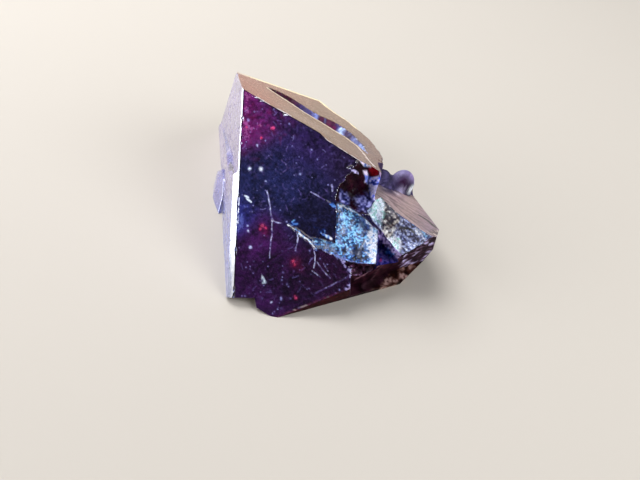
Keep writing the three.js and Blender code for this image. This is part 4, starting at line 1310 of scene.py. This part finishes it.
def stage_material():
    """Matt warm off-white paper for the floor."""
    material = bpy.data.materials.new("matt_paper")
    material.use_nodes = True
    shader = material.node_tree.nodes["Principled BSDF"]
    settings = {"Base Color": colour("#c8bdaa"), "Roughness": 0.9, "Specular IOR Level": 0.2}
    for socket, value in settings.items():
        shader.inputs[socket].default_value = value
    return material


FLOOR_HALF = 0.16  # half the floor's side, in metres as all of the stage is


def floor():
    """A flat square floor under the crystal."""
    corners = [(x * FLOOR_HALF, y * FLOOR_HALF, 0) for x, y in ((-1, -1), (1, -1), (1, 1), (-1, 1))]
    thing = new_solid("floor", corners, [(0, 1, 2, 3)])
    thing.data.materials.append(stage_material())


LIFT = 0.003  # the softboxes stand this much higher than their directions put them


def softbox(name, towards, distance, size, radiance, tint):
    """A square soft light in the given direction from the crystal, with energy = radiance times pi size²."""
    light = bpy.data.lights.new(name, "AREA")
    light.shape, light.size = "SQUARE", size
    light.energy = radiance * math.pi * size * size
    light.color = linear(tint)
    thing = new_object(name, light)
    at = Vector(unit(towards) * distance) + Vector((0, 0, LIFT))
    thing.matrix_world = Matrix.Translation(at) @ at.to_track_quat("Z", "Y").to_matrix().to_4x4()
    thing.visible_camera = False


def sky():
    """Pale near the horizon, dark overhead, so that the steep front face mirrors a dark room."""
    world = bpy.data.worlds.new("studio")
    bpy.context.scene.world = world
    world.use_nodes = True
    tree = world.node_tree
    tree.nodes.clear()
    place = add(tree, "ShaderNodeTexCoord")
    parts = add(tree, "ShaderNodeSeparateXYZ", {}, {0: place.outputs["Generated"]})
    height = add(tree, "ShaderNodeMapRange", {
        "From Min": 0.1, "From Max": 0.55, "interpolation_type": "SMOOTHSTEP"},
        {"Value": parts.outputs["Z"]})
    shade = add(tree, "ShaderNodeMix", {"data_type": "RGBA", 6: colour("#ece8e2"), 7: colour("#2a2a30")},
                {0: height.outputs[0]})
    background = add(tree, "ShaderNodeBackground", {"Strength": 0.8}, {"Color": shade.outputs[2]})
    add(tree, "ShaderNodeOutputWorld", {}, {"Surface": background.outputs[0]})


CAMERA_PLACE = (-0.0017155, -0.0276605, 0.02527)  # metres
CAMERA_RIGHT, CAMERA_UP = (0.99802, -0.02727, 0.05429), (-0.01844, 0.71689, 0.69718)
CAMERA_BACK = (-0.05780, -0.69711, 0.71484)
SENSOR_WIDTH, LENS = 36.0, 34.165  # millimetres


def camera():
    """The camera at its place, looking against its back direction."""
    data = bpy.data.cameras.new("camera")
    data.sensor_width, data.lens = SENSOR_WIDTH, LENS
    data.clip_start, data.clip_end = 0.001, 10.0
    thing = new_object("camera", data)
    pose = Matrix((CAMERA_RIGHT, CAMERA_UP, CAMERA_BACK)).transposed().to_4x4()
    pose.translation = CAMERA_PLACE
    thing.matrix_world = pose
    bpy.context.scene.camera = thing


floor()
softbox("back_light", (-0.25, 0.55, 0.8), 0.12, 0.09, 8.0, "#eaf0ff")
softbox("left_light", (-0.95, 0.0, 0.34), 0.11, 0.08, 5.0, "#e6ecff")
softbox("right_light", (0.66, -0.42, 0.62), 0.11, 0.06, 8.0, "#e6eeff")
sky()
camera()
scene = bpy.context.scene
scene.view_settings.view_transform = "Standard"
scene.view_settings.look = "None"
